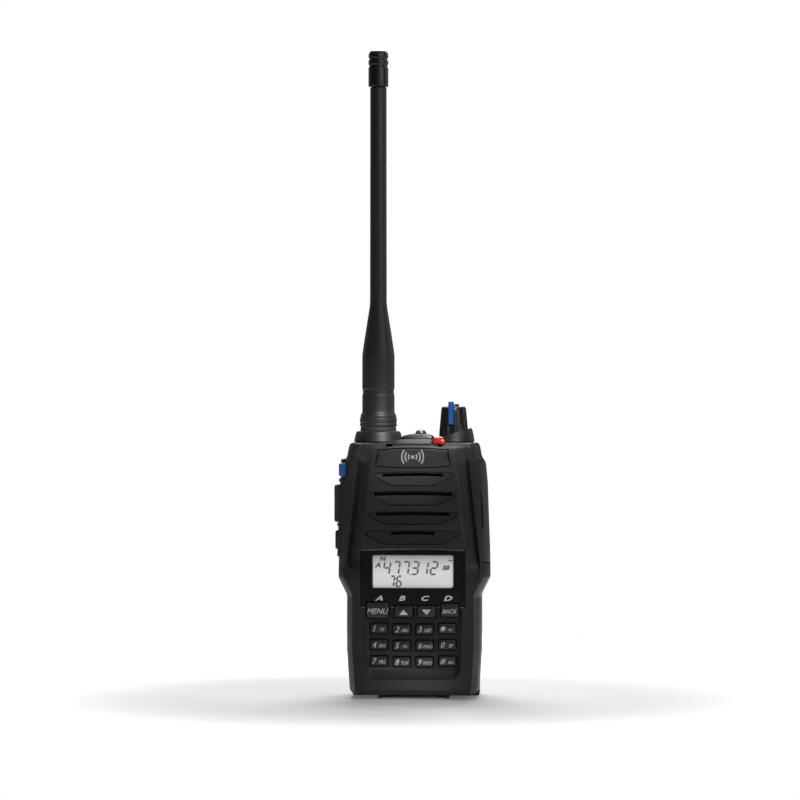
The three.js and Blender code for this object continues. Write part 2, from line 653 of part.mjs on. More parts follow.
function batteryCase() {
  const { half, front, wall, top } = BATTERY;
  const shell = joined(
    column(batteryOutline(0), 0, top),
    plate(roundedRectangle(-FOOT.half, FOOT.half, 0, FOOT.height, 0.3), FOOT.front, front + 1, 2),
  );
  const lidSeat = box([-half + 0.8, half - 0.8], [front - 1, front + 1.3], [2.0, top - 0.8]);
  const cellRoom = column(batteryOutline(wall), 3.0, top - wall - 0.8);
  const insideOnly = box([-half, half], [front, 30], [0, top]);
  const latchSlot = box(
    [-LATCH.half - GAP, LATCH.half + GAP],
    [FOOT.front - 1, LATCH_SLOT_BACK],
    [LATCH.base - GAP, 3],
  );
  return cut(shell, lidSeat, cellRoom.intersect(insideOnly), latchSlot);
}
place('battery_case', batteryCase(), CASE_PLASTIC);
place(
  'battery_lid',
  cut(box([-25.1, 25.1], [BATTERY.front, BATTERY.front + 1.0], [2.3, 86.8]), box([-8.8, 8.8], [4, 6], [7.2, 12.8])),
  CASE_PLASTIC,
);
for (const [name, side] of [['battery_cell_left', -1], ['battery_cell_right', 1]]) {
  const inner = side * 0.6;
  const outer = side * 23.9;
  place(
    name,
    column(roundedRectangle(Math.min(inner, outer), Math.max(inner, outer), 6.4, 14.6, 2.4), 15.5, 84.5, 3),
    CELL_WRAP,
  );
}
place('battery_contact_strip', box([-8.4, 8.4], [5.0, 5.8], [7.6, 12.4]), BRASS);
place(
  'battery_terminals',
  joined(
    box([-9, 9], [-1.2, 3.0], [7, 13]),
    ...[-6, -2, 2, 6].map((x) => box([x - 0.7, x + 0.7], [2.5, 4.5], [8.2, 11.8])),
  ),
  BRASS,
);
const latchBar = box([-LATCH.half, LATCH.half], [LATCH.front, LATCH.back], [LATCH.base, LATCH.top]);
place('battery_latch', latchBar, GLOSS_BLACK);

// A bowed leaf spring between the latch and the back of its slot.
function latchSpring() {
  const thickness = 0.4;
  const crest = LATCH.back + GAP;
  const ends = LATCH_SLOT_BACK - GAP - thickness;
  const bow = [[-8, ends], [-4.5, (crest * 2 + ends) / 3], [0, crest], [4.5, (crest * 2 + ends) / 3], [8, ends]];
  const back = bow.map(([x, y]) => [x, y + thickness]).reverse();
  return column(outline([...bow, ...back]), LATCH.base, LATCH.top);
}
place('latch_spring', latchSpring(), STEEL);

// ---- Belt clip ----

// A shape drawn from the side in Y and Z, from one X to another.
function profileAcross(shape, x0, x1) {
  const geometry = new THREE.ExtrudeGeometry(shape, { depth: x1 - x0, bevelEnabled: false });
  geometry.applyMatrix4(new THREE.Matrix4().makeBasis(
    new THREE.Vector3(0, 1, 0), new THREE.Vector3(0, 0, 1), new THREE.Vector3(1, 0, 0)));
  return solid(geometry.translate(x0, 0, 0));
}

const ears = [-1, 1].map((side) => {
  const ear = outline([[17.3, 70], [20, 71], [23.4, 74.2], [23.4, 77.8], [20, 81], [17.3, 82]]);
  const middle = side * (CLIP.half + 1.1);
  return profileAcross(ear, middle - CLIP.ear / 2, middle + CLIP.ear / 2);
});
const clipPinHole = bar('x', CLIP.pinRadius + 0.1, -20, 20, [CLIP.pivotY, CLIP.pivotZ], 16);
place(
  'clip_bracket',
  cut(
    joined(
      box([-12.4, 12.4], [BATTERY.back + GAP, 19.2], [69, 83]),
      ...ears.map((ear) => cut(ear, box([-20, 20], [10, BATTERY.back + GAP], [60, 90]))),
    ),
    clipPinHole,
  ),
  STEEL,
);
place('clip_pin', bar('x', CLIP.pinRadius, -12.6, 12.6, [CLIP.pivotY, CLIP.pivotZ], 14), STEEL);

// The clip's sheet, drawn from the side in Y and Z, with its sleeve round the pin.
function beltClip() {
  const { inner, sheet, half, tip, tab, pivotY, pivotZ, pinRadius } = CLIP;
  const centre = [[inner + 1.6, tab], [inner + 1.3, 80], [inner + 1.1, 70], [inner + 1.1, 44], [inner - 0.8, 35.5],
    [BATTERY.back + 0.5, tip + 2], [BATTERY.back + 1.6, tip]];
  const outer = centre.map(([y, z]) => [y + sheet, z]).reverse();
  const edge = half - GAP;
  const blade = profileAcross(outline([...centre, ...outer]), -edge, edge);
  const sleeves = [[-edge, -4.2], [4.2, edge]].map(([x0, x1]) => bar('x', 2.0, x0, x1, [pivotY, pivotZ], 16));
  return cut(
    joined(blade, ...sleeves),
    bar('x', pinRadius + GAP, -20, 20, [pivotY, pivotZ], 16),
    box([-4.0, 4.0], [pivotY - 2.6, pivotY + 2.35], [pivotZ - 4.2, pivotZ + 4.2]),
  );
}
place('belt_clip', beltClip(), CASE_PLASTIC);
place(
  'clip_spring',
  cut(
    joined(
      bar('x', 2.0, -3.6, 3.6, [CLIP.pivotY, CLIP.pivotZ], 16),
      box([-3.6, -2.8], [19.5, 21.6], [71.5, 75]),
    ),
    bar('x', CLIP.pinRadius + GAP, -20, 20, [CLIP.pivotY, CLIP.pivotZ], 16),
  ),
  STEEL,
);

export default radio;
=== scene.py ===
"""Looks of a handheld two-way radio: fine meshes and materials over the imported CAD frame.

Lengths in this script are millimetres until new_object() scales them to metres. +Z is up, the keypad faces -Y.
"""

import math

import bmesh
import bpy
import numpy as np
from mathutils import Matrix, Vector


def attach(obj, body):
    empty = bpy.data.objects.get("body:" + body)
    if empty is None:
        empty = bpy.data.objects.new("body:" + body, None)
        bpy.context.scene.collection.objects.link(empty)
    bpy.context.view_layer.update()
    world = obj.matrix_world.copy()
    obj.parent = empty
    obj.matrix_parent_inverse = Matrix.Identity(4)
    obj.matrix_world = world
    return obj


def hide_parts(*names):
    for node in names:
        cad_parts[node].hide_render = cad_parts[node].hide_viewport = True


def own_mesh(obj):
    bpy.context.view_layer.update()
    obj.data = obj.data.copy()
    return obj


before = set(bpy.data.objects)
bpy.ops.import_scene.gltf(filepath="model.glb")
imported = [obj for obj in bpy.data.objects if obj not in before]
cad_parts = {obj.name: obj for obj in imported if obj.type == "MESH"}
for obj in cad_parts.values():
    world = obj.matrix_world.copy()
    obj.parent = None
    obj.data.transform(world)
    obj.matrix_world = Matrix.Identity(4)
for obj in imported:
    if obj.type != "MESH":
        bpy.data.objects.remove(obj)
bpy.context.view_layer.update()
MM = 0.001

# ---- Dimensions shared with the CAD part ----

GAP = 0.3
FRONT_Y = -19.0
CROWN = 1.0
PANEL_HALF = 21.2
SHELL_BACK_Y = 1.5
SHELL_BASE = 1.9
SHELL_TOP = 104.6
TOP_AXIS_Y = -2.0
ANTENNA_X = -15.1
KNOB_X = 15.9
# Height, half width, half width of the centre panel, centre of the side channel, its depth, setback.
STATIONS = np.array([
    (1.9, 25.0, 20.2, 22.6, 0.3, 0.9),
    (3.3, 26.4, 20.4, 23.2, 0.4, 0.0),
    (20.0, 27.6, 21.0, 24.0, 0.5, 0.0),
    (42.4, 27.5, 21.2, 24.2, 0.6, 0.0),
    (49.4, 31.0, 21.2, 26.4, 0.9, 0.0),
    (52.5, 31.0, 21.2, 26.8, 1.6, 0.0),
    (56.5, 30.9, 21.2, 26.6, 4.0, 0.0),
    (62.2, 30.8, 21.2, 26.0, 4.0, 0.0),
    (88.0, 29.9, 18.4, 23.1, 3.8, 0.0),
    (96.6, 29.1, 17.4, 22.1, 3.6, 0.1),
    (98.8, 27.5, 17.1, 21.9, 2.0, 0.2),
    (102.8, 26.8, 16.6, 21.4, 1.0, 0.4),
    (104.6, 26.1, 16.2, 21.0, 0.8, 1.5),
])
# Top, base, half width, half width at the foot, half width of the slot.
LOUVRES = [
    (92.3, 87.1, 16.1, 8.4, 12.4),
    (84.5, 79.3, 17.5, 9.6, 15.9),
    (76.4, 71.5, 18.4, 11.4, 14.9),
    (68.6, 63.5, 19.2, 12.0, 8.9),
]
LENS_BASE, LENS_TOP, LENS_BACK = 38.0, 61.1, -17.2
WINDOW = (-16.6, 16.6, 45.4, 58.9)
NUMBER_WIDTH, NUMBER_HEIGHT = 7.0, 4.15
# Name, X, Z, width, height, legend.
FUNCTION_KEYS = [
    ("key_menu", -14.3, 36.5, 9.2, 6.8, "MENU"),
    ("key_up", -3.7, 36.05, 7.4, 5.1, "up"),
    ("key_down", 5.6, 36.05, 7.4, 5.1, "down"),
    ("key_back", 15.1, 36.5, 7.4, 5.6, "BACK"),
]
# Row height; name, legend and second legend from left to right.
NUMBER_KEYS = [
    (28.7, [("key_1", "1", "QZ"), ("key_2", "2", "ABC"), ("key_3", "3", "DEF"), ("key_star", "star", "+/-")]),
    (22.1, [("key_4", "4", "GHI"), ("key_5", "5", "JKL"), ("key_6", "6", "MNO"), ("key_0", "0", "SP")]),
    (15.4, [("key_7", "7", "PRS"), ("key_8", "8", "TUV"), ("key_9", "9", "WXY"), ("key_hash", "#", "A/a")]),
]


# Name, base, top, face, front and back.
SIDE_KEYS = [
    ("side_key_upper", 90.8, 96.3, -30.6, (-14.3, -5.4)),
    ("ptt_bar", 72.1, 87.4, -32.6, (-12.0, -4.0)),
    ("side_key_lower", 61.0, 68.7, -32.3, (-11.0, -5.0)),
]
SIDE_FRAME = {"span": (58.0, 98.0), "faces": (31.3, 29.7), "y": (-13.2, -2.8)}
TORCH_X, TORCH_Y = 2.7, -7.0
CHARGE_X, CHARGE_Z = 8.0, 3.4
CLIP_PIN_Y, CLIP_PIN_Z = 21.6, 76.0
LCD_Y = -17.3
# Depths of a cut through the front wall, and of a mark on the display.
THROUGH = [(-2.0, 0), (4.5, 0)]
LCD_MARK = [(LCD_Y - 0.06, 0), (LCD_Y + 0.02, 0)]


def face_y(x):
    """The crowned front face's Y at a distance x from the centre line."""
    return FRONT_Y + CROWN * (x / PANEL_HALF) ** 2


def number_place(z, column):
    """A number key's centre: its X, and its Z in a row that droops a little in the middle."""
    offset = column - 1.5
    return 0.1 + offset * 9.3, z + (0.33 if abs(offset) > 1 else 0.0)


# ---- Meshes ----


def new_object(name, points, faces, material=None):
    mesh = bpy.data.meshes.new(name)
    mesh.from_pydata([tuple(c * MM for c in p) for p in points], [], faces)
    obj = bpy.data.objects.new(name, mesh)
    bpy.context.scene.collection.objects.link(obj)
    if material:
        mesh.materials.append(material)
    return obj


def outward(obj):
    """Turns every face of a closed mesh outwards."""
    work = bmesh.new()
    work.from_mesh(obj.data)
    bmesh.ops.recalc_face_normals(work, faces=work.faces)
    work.to_mesh(obj.data)
    work.free()
    return obj


def stack(name, rings, material=None):
    """A closed solid through rings that have the same number of points; a ring of one point closes it in a tip."""
    points = [p for ring in rings for p in ring]
    starts = np.cumsum([0] + [len(ring) for ring in rings])
    faces = []
    for k, (low, high) in enumerate(zip(rings, rings[1:])):
        a, b = starts[k], starts[k + 1]
        count = max(len(low), len(high))
        for i in range(count):
            j = (i + 1) % count
            if len(low) == 1:
                faces.append((a, b + j, b + i))
            elif len(high) == 1:
                faces.append((a + i, a + j, b))
            else:
                faces.append((a + i, a + j, b + j, b + i))
    if len(rings[0]) > 1:
        faces.append(tuple(range(len(rings[0]))))
    if len(rings[-1]) > 1:
        faces.append(tuple(range(starts[-2], starts[-1])))
    return outward(new_object(name, points, [tuple(int(i) for i in f) for f in faces], material))


def rounded(corners, radius, steps=5):
    """A closed outline with its corners rounded; radius is one number or one for each corner."""
    count = len(corners)
    radii = [radius] * count if isinstance(radius, (int, float)) else radius
    out = []
    for i in range(count):
        p, a, b = Vector(corners[i]), Vector(corners[i - 1]), Vector(corners[(i + 1) % count])
        if radii[i] == 0:
            out.append(p)
            continue
        start = p + (a - p).normalized() * min(radii[i], (a - p).length * 0.49)
        end = p + (b - p).normalized() * min(radii[i], (b - p).length * 0.49)
        for s in range(steps + 1):
            t = s / steps
            out.append((1 - t) ** 2 * start + 2 * t * (1 - t) * p + t * t * end)
    return out


def rectangle(x0, x1, z0, z1, radius, steps=5):
    return rounded([(x0, z0), (x1, z0), (x1, z1), (x0, z1)], radius, steps)


def grown(outline, amount):
    """A counter-clockwise outline moved outwards by amount."""
    out = []
    count = len(outline)
    for i in range(count):
        before = outline[i] - outline[i - 1]
        after = outline[(i + 1) % count] - outline[i]
        n1 = Vector((before.y, -before.x)).normalized()
        n2 = Vector((after.y, -after.x)).normalized()
        n = (n1 + n2).normalized()
        out.append(outline[i] + n * amount / max(0.5, n.dot(n1)))
    return out


def soft_levels(low, high, radius, steps=4):
    """Heights and insets of a solid whose top and bottom edges are rounded."""
    turn = [s / steps * math.pi / 2 for s in range(steps + 1)]
    base = [(low + radius * (1 - math.cos(a)), radius * (1 - math.sin(a))) for a in turn]
    top = [(high - radius * (1 - math.cos(a)), radius * (1 - math.sin(a))) for a in reversed(turn)]
    return base + top


def solid(name, outline, levels, place, material=None):
    """A solid of an outline at levels of (height, inset); place turns (u, v, height) into a point."""
    rings = [[place(p.x, p.y, h) for p in grown(outline, -inset)] for h, inset in levels]
    return stack(name, rings, material)


def upright(u, v, h):
    return (u, v, h)


def facing(u, v, h):
    return (u, h, v)


def on_face(u, v, h):
    return (u, face_y(u) + h, v)


def sideways(u, v, h):
    return (h, u, v)


def box(name, x, y, z, material=None, radius=0.0):
    """A box, with its upright edges and its ends rounded where a radius is given."""
    outline = rectangle(x[0], x[1], y[0], y[1], radius, 3)
    levels = soft_levels(z[0], z[1], radius, 3) if radius else [(z[0], 0), (z[1], 0)]
    return solid(name, outline, levels, upright, material)


def circle(segments, radius=1.0):
    """Points round a circle about the origin."""
    angles = [i / segments * math.tau for i in range(segments)]
    return [Vector((math.cos(a), math.sin(a))) * radius for a in angles]


def turned(name, profile, x, y, material=None, segments=64):
    """A turned solid: its profile is (radius, height) from the axis to the axis, or closed on itself."""
    rings = []
    for r, z in profile:
        if r == 0:
            rings.append([(x, y, z)])
        else:
            angles = [i / segments * math.tau for i in range(segments)]
            rings.append([(x + r * math.cos(a), y + r * math.sin(a), z) for a in angles])
    return stack(name, rings, material)


def tube(name, profile, material=None, x=ANTENNA_X, segments=72):
    """A turned ring whose profile is a closed loop of (radius, height)."""
    loop = rounded(profile, 0.18, 3)
    count = len(loop)
    points, faces = [], []
    for i in range(segments):
        a = i / segments * math.tau
        points += [(x + p.x * math.cos(a), TOP_AXIS_Y + p.x * math.sin(a), p.y) for p in loop]
        j = (i + 1) % segments
        for k in range(count):
            after = (k + 1) % count
            faces.append((i * count + k, i * count + after, j * count + after, j * count + k))
    return outward(new_object(name, points, faces, material))


def bar_x(name, radius, x0, x1, y, z, material=None, segments=24):
    ring = circle(segments, radius)
    return stack(name, [[(x, y + p.x, z + p.y) for p in ring] for x in (x0, x1)], material)


def bar_y(name, radius, y0, y1, x, z, material=None, segments=24):
    ring = circle(segments, radius)
    return stack(name, [[(x + p.x, y, z + p.y) for p in ring] for y in (y0, y1)], material)


def settled(obj):
    """Applies the object's modifiers."""
    graph = bpy.context.evaluated_depsgraph_get()
    mesh = bpy.data.meshes.new_from_object(obj.evaluated_get(graph))
    old = obj.data
    obj.modifiers.clear()
    obj.data = mesh
    bpy.data.meshes.remove(old)
    return obj


def combined(obj, tools, operation):
    """Adds tools to obj or takes them away, and removes the tools."""
    group = bpy.data.collections.new("tools")
    for tool in tools:
        group.objects.link(tool)
    step = obj.modifiers.new("combine", "BOOLEAN")
    step.operand_type = "COLLECTION"
    step.collection = group
    step.operation = operation
    step.solver = "EXACT"
    settled(obj)
    for tool in tools:
        bpy.data.objects.remove(tool)
    bpy.data.collections.remove(group)
    return obj


def cut(obj, *tools):
    return combined(obj, tools, "DIFFERENCE")


def joined(name, objects):
    """One object out of several, with their materials."""
    bpy.ops.object.select_all(action="DESELECT")
    for obj in objects:
        obj.select_set(True)
    bpy.context.view_layer.objects.active = objects[0]
    bpy.ops.object.join()
    objects[0].name = name
    return objects[0]


def smoothed(obj, angle=32):
    mesh = obj.data
    mesh.polygons.foreach_set("use_smooth", [True] * len(mesh.polygons))
    mesh.set_sharp_from_angle(angle=math.radians(angle))
    return obj


# ---- Materials ----


def linear(r, g, b):
    """Linear colour from 0-255 display values."""
    return tuple((c / 255 / 12.92 if c <= 10 else ((c / 255 + 0.055) / 1.055) ** 2.4) for c in (r, g, b)) + (1.0,)


def surface(name, color, roughness, grain=0.3, metallic=0.0, mottle=0.06, bump=0.02, wear=0.0, edge=0.0, coat=0.0,
            specular=0.5, blotch=60.0, rough_spread=0.07, sheen=0.0):
    """A procedural finish: grain in mm across, bump in mm deep, wear and edge rounding in mm along the edges."""
    made = bpy.data.materials.new(name)
    made.use_nodes = True
    nodes, links = made.node_tree.nodes, made.node_tree.links
    shader = nodes["Principled BSDF"]
    shader.inputs["Roughness"].default_value = roughness
    shader.inputs["Metallic"].default_value = metallic
    shader.inputs["Specular IOR Level"].default_value = specular
    shader.inputs["Coat Weight"].default_value = coat
    shader.inputs["Coat Roughness"].default_value = 0.12
    shader.inputs["Sheen Weight"].default_value = sheen
    place = nodes.new("ShaderNodeTexCoord").outputs["Object"]

    broad = nodes.new("ShaderNodeTexNoise")
    broad.inputs["Scale"].default_value = blotch
    broad.inputs["Detail"].default_value = 5.0
    broad.inputs["Roughness"].default_value = 0.6
    links.new(place, broad.inputs["Vector"])
    tint = nodes.new("ShaderNodeValToRGB")
    tint.color_ramp.elements[0].position = 0.3
    tint.color_ramp.elements[1].position = 0.7
    for element, share in zip(tint.color_ramp.elements, (1 - mottle, 1 + mottle)):
        element.color = tuple(min(1.0, c * share) for c in color[:3]) + (1.0,)
    links.new(broad.outputs["Fac"], tint.inputs["Fac"])
    color_out = tint.outputs["Color"]

    spread = nodes.new("ShaderNodeMapRange")
    spread.inputs["From Min"].default_value = 0.3
    spread.inputs["From Max"].default_value = 0.7
    spread.inputs["To Min"].default_value = max(0.03, roughness - rough_spread)
    spread.inputs["To Max"].default_value = min(1.0, roughness + rough_spread)
    links.new(broad.outputs["Fac"], spread.inputs["Value"])
    links.new(spread.outputs["Result"], shader.inputs["Roughness"])

    fine = nodes.new("ShaderNodeTexNoise")
    fine.inputs["Scale"].default_value = 1.0 / (grain * MM)
    fine.inputs["Detail"].default_value = 2.5
    links.new(place, fine.inputs["Vector"])
    relief = nodes.new("ShaderNodeBump")
    relief.inputs["Strength"].default_value = 0.8
    relief.inputs["Distance"].default_value = bump * MM
    links.new(fine.outputs["Fac"], relief.inputs["Height"])
    links.new(relief.outputs["Normal"], shader.inputs["Normal"])
    if edge:
        soft = nodes.new("ShaderNodeBevel")
        soft.samples = 6
        soft.inputs["Radius"].default_value = edge * MM
        links.new(soft.outputs["Normal"], relief.inputs["Normal"])
    if wear:
        wide = nodes.new("ShaderNodeBevel")
        wide.samples = 6
        wide.inputs["Radius"].default_value = wear * MM
        true = nodes.new("ShaderNodeNewGeometry")
        dot = nodes.new("ShaderNodeVectorMath")
        dot.operation = "DOT_PRODUCT"
        links.new(wide.outputs["Normal"], dot.inputs[0])
        links.new(true.outputs["True Normal"], dot.inputs[1])
        mask = nodes.new("ShaderNodeMapRange")
        mask.inputs["From Min"].default_value = 0.97
        mask.inputs["From Max"].default_value = 0.75
        mask.inputs["To Max"].default_value = 0.55
        links.new(dot.outputs["Value"], mask.inputs["Value"])
        patchy = nodes.new("ShaderNodeMath")
        patchy.operation = "MULTIPLY"
        links.new(mask.outputs["Result"], patchy.inputs[0])
        links.new(broad.outputs["Fac"], patchy.inputs[1])
        mix = nodes.new("ShaderNodeMix")
        mix.data_type = "RGBA"
        links.new(patchy.outputs["Value"], mix.inputs["Factor"])
        links.new(color_out, mix.inputs["A"])
        mix.inputs["B"].default_value = tuple(min(1.0, c * 2.2 + 0.012) for c in color[:3]) + (1.0,)
        color_out = mix.outputs["Result"]
    links.new(color_out, shader.inputs["Base Color"])
    return made


CASE = surface("case_plastic", linear(27, 28, 28), 0.46, grain=0.28, bump=0.018, wear=0.35, edge=0.18, specular=0.33)
CASE_FINE = surface("case_plastic_fine", linear(27, 28, 28), 0.44, grain=0.22, bump=0.012, edge=0.08, specular=0.35)
KEYS = surface("key_plastic", linear(34, 36, 40), 0.4, grain=0.18, bump=0.008, specular=0.4)
GLOSS = surface("gloss_black", linear(12, 12, 13), 0.16, grain=2.5, bump=0.003, rough_spread=0.04, coat=0.4)
KNOB = surface("knob_plastic", linear(16, 16, 18), 0.34, grain=0.3, bump=0.006)
CAP = surface("cap_plastic", linear(8, 8, 8), 0.36, grain=0.4, bump=0.006)
LENS_MATERIAL = surface("lens_black", linear(13, 14, 15), 0.22, grain=3.0, bump=0.002, rough_spread=0.03, specular=0.22)
# Pale finish for the strip under the lens: a painted highlight.
LOWER_HIGHLIGHT = surface("lower_highlight_paint", linear(96, 98, 100), 0.35, grain=0.3, bump=0.004)
# Pale finish for the strip along the lens top: a painted highlight.
UPPER_HIGHLIGHT = surface("upper_highlight_paint", linear(92, 94, 95), 0.35, grain=0.3, bump=0.004)
BLUE = surface("blue_plastic", linear(18, 74, 140), 0.38, grain=0.3, bump=0.006)
RUBBER = surface("rubber", linear(38, 39, 39), 0.62, grain=0.35, bump=0.02, specular=0.4)
WHIP = surface("whip_rubber", linear(30, 31, 31), 0.48, grain=0.4, bump=0.015, specular=0.45)
CAST = surface("die_cast", linear(120, 123, 126), 0.42, grain=0.5, bump=0.02, metallic=1.0)
STEEL = surface("steel", linear(168, 171, 174), 0.28, grain=0.6, bump=0.006, metallic=1.0)
BRASS = surface("brass", linear(205, 168, 84), 0.26, grain=0.5, bump=0.004, metallic=1.0)
BOARD = surface("circuit_board", linear(24, 84, 52), 0.42, grain=0.9, bump=0.03, mottle=0.2, blotch=240.0)
CLOTH = surface("speaker_cloth", linear(14, 14, 15), 0.9, grain=0.25, bump=0.08)
CELL = surface("cell_can", linear(64, 108, 160), 0.4, grain=1.2, bump=0.006)
PRINT = surface("print_white", linear(205, 207, 209), 0.5, grain=0.2, bump=0.002, mottle=0.02)
PLATE_PRINT = surface("print_grey", linear(116, 118, 120), 0.4, grain=0.2, bump=0.002, mottle=0.03)
INK = surface("lcd_ink", linear(74, 78, 80), 0.5, grain=0.3, bump=0.001, mottle=0.05)
LABEL = surface("label", linear(64, 66, 68), 0.45, grain=0.6, bump=0.004)


def red_lens():
    made = surface("red_lens", linear(150, 22, 20), 0.18, grain=1.5, bump=0.004, coat=0.5)
    shader = made.node_tree.nodes["Principled BSDF"]
    shader.inputs["Subsurface Weight"].default_value = 0.3
    shader.inputs["Subsurface Scale"].default_value = 0.002
    shader.inputs["Emission Color"].default_value = linear(220, 30, 30)
    shader.inputs["Emission Strength"].default_value = 0.06
    return made


def clear_lens():
    made = surface("clear_lens", linear(52, 54, 57), 0.2, grain=1.0, bump=0.004, coat=0.3)
    made.node_tree.nodes["Principled BSDF"].inputs["Transmission Weight"].default_value = 0.1
    return made


def lcd_glass():
    """Reflective grey display that glows as if backlit; its colour and glow are painted darker a little towards its
    lower edge and most towards its upper edge, as painted shade of the lens frame round the window.
    """
    made = surface("lcd", linear(214, 217, 216), 0.4, grain=0.5, bump=0.001, mottle=0.02)
    nodes, links = made.node_tree.nodes, made.node_tree.links
    shader = nodes["Principled BSDF"]
    parts = nodes.new("ShaderNodeSeparateXYZ")
    links.new(nodes["Texture Coordinate"].outputs["Object"], parts.inputs["Vector"])
    height = nodes.new("ShaderNodeMapRange")
    height.inputs["From Min"].default_value = WINDOW[2] * MM
    height.inputs["From Max"].default_value = WINDOW[3] * MM
    links.new(parts.outputs["Z"], height.inputs["Value"])
    # Painted shade: a ramp up the window darkens the colour and the glow a little at the lower edge and most at the
    # upper edge, where the lens frame shades the display.
    ramp = nodes.new("ShaderNodeValToRGB")
    ramp.color_ramp.elements[0].position = 0.0
    ramp.color_ramp.elements[0].color = linear(176, 179, 178)
    ramp.color_ramp.elements[1].position = 1.0
    ramp.color_ramp.elements[1].color = linear(128, 132, 131)
    for position, level in ((0.12, 204), (0.45, 208), (0.7, 194), (0.9, 164)):
        element = ramp.color_ramp.elements.new(position)
        element.color = linear(level, level + 2, level + 1)
    links.new(height.outputs["Result"], ramp.inputs["Fac"])
    links.new(ramp.outputs["Color"], shader.inputs["Base Color"])
    links.new(ramp.outputs["Color"], shader.inputs["Emission Color"])
    shader.inputs["Emission Strength"].default_value = 0.5
    return made


def pane():
    made = bpy.data.materials.new("display_pane")
    made.use_nodes = True
    shader = made.node_tree.nodes["Principled BSDF"]
    shader.inputs["Base Color"].default_value = linear(235, 238, 238)
    shader.inputs["Roughness"].default_value = 0.05
    shader.inputs["Alpha"].default_value = 0.06
    return made


RED = red_lens()
CLEAR = clear_lens()
LCD = lcd_glass()
PANE = pane()


# ---- Placing pieces ----


def shown(obj, body, slot, *nodes, angle=32):
    smoothed(obj, angle)
    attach(obj, body)
    if nodes:
        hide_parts(*nodes)
    return obj


# ---- Front shell ----


def station(z):
    """The section's measures at a height, with the kinks between stations eased."""
    spread = np.array([-0.9, -0.45, 0.0, 0.45, 0.9])
    weights = np.array([1, 2, 3, 2, 1]) / 9
    heights = np.clip(z + spread, STATIONS[0, 0], STATIONS[-1, 0])
    reach = min(1.0, (STATIONS[-1, 0] - z) / 0.9, (z - STATIONS[0, 0]) / 0.9)
    heights = z + (heights - z) * max(0.0, reach)
    return [float(np.dot(weights, np.interp(heights, STATIONS[:, 0], STATIONS[:, k]))) for k in range(1, 6)]


def shell_outline(z):
    half, panel, channel, depth, setback = station(z)
    rail_inner = channel + 0.55
    rail = face_y(panel) + min(depth, 2.2) * 0.75
    right = [
        (panel, face_y(panel) + setback),
        (channel, face_y(panel) + depth + setback),
        (rail_inner, rail + 0.2 + setback),
        (half - 2.6, rail + 0.7 + setback),
        (half - 0.3, -12.6),
        (half, -9.0),
        (half, SHELL_BACK_Y),
    ]
    radii = [0.8, 0.35, 0.4, 0.9, 2.2, 1.6, 0.4]
    across = np.linspace(-(panel - 2.6), panel - 2.6, 23)
    front = [(float(x), face_y(x) + setback) for x in across]
    left = [(-x, y) for x, y in reversed(right)]
    corners = front + right + left
    return rounded(corners, [0] * len(front) + radii + radii[::-1], 5)


def shell_rings():
    rings = []
    base_round, top_round = 0.7, 0.9
    heights = [(SHELL_BASE + base_round * (1 - math.cos(a)), base_round * (1 - math.sin(a)))
               for a in np.linspace(0, math.pi / 2, 5)]
    heights += [(float(z), 0.0) for z in np.linspace(SHELL_BASE + base_round, SHELL_TOP - top_round, 128)[1:-1]]
    heights += [(SHELL_TOP - top_round * (1 - math.cos(a)), top_round * (1 - math.sin(a)))
                for a in np.linspace(math.pi / 2, 0, 6)]
    for z, inset in heights:
        rings.append([(p.x, p.y, z) for p in grown(shell_outline(z), -inset)])
    return rings


def function_key_cutters(clearance):
    """A cutter for each function key, wider and taller than the key by the clearance."""
    return [solid(name + "_gap", key_outline(x, z, width + clearance, height + clearance), THROUGH, on_face)
            for name, x, z, width, height, _ in FUNCTION_KEYS]


def pocket(name, outline, depth, chamfer=0.22):
    """A cutter for a pocket in the crowned front, with a chamfered mouth."""
    levels = [(-2.0, -chamfer), (-0.02, -chamfer), (chamfer, 0), (depth, 0)]
    return solid(name, outline, levels, on_face)


def key_outline(x, z, width, height, radius=0.8):
    return rectangle(x - width / 2, x + width / 2, z - height / 2, z + height / 2, radius, 4)


def bowed(side, half, z, bow, count):
    """Points of a bowed line about X = 0, from one end to the other; side is where it starts."""
    shares = [side * (1 - 2 * i / count) for i in range(count + 1)]
    return [(t * half, z + bow * (1 - t ** 2)) for t in shares]


def arched(half_top, top, half_base, base, bow_top, bow_base, count=18):
    """A counter-clockwise outline with bowed top and bottom lines."""
    low = bowed(-1, half_base, base, -bow_base, count)
    high = bowed(1, half_top, top, bow_top, count)
    radii = [0.6] + [0] * (count - 1) + [0.6] + [0.6] + [0] * (count - 1) + [0.6]
    return rounded(low + high, radii, 4)


def louvre_outline(top, base, half, foot):
    """A wide cup: bowed top line, short upright ends and slanted cheeks to a narrower foot."""
    end = (top - base) * 0.3
    count = 16
    high = bowed(1, half, top, 0.5, count)
    corners = [(-half, top - end), (-foot, base), (foot, base), (half, top - end)] + high
    radii = [0.7, 1.2, 1.2, 0.7, 0.8] + [0] * (count - 1) + [0.8]
    return rounded(corners, radii, 4)


def groove(name, outline, width, depth):
    """A cutter for a narrow groove along an outline on the crowned front."""
    outer, inner = grown(outline, width / 2), grown(outline, -width / 2)
    count = len(outline)
    rings = []
    for line, y in ((outer, -1.0), (outer, depth), (inner, depth), (inner, -1.0)):
        rings.append([on_face(p.x, p.y, y) for p in line])
    faces = []
    for k in range(4):
        for i in range(count):
            j = (i + 1) % count
            a, b = k * count, ((k + 1) % 4) * count
            faces.append((a + i, a + j, b + j, b + i))
    return outward(new_object(name, [p for ring in rings for p in ring], faces))


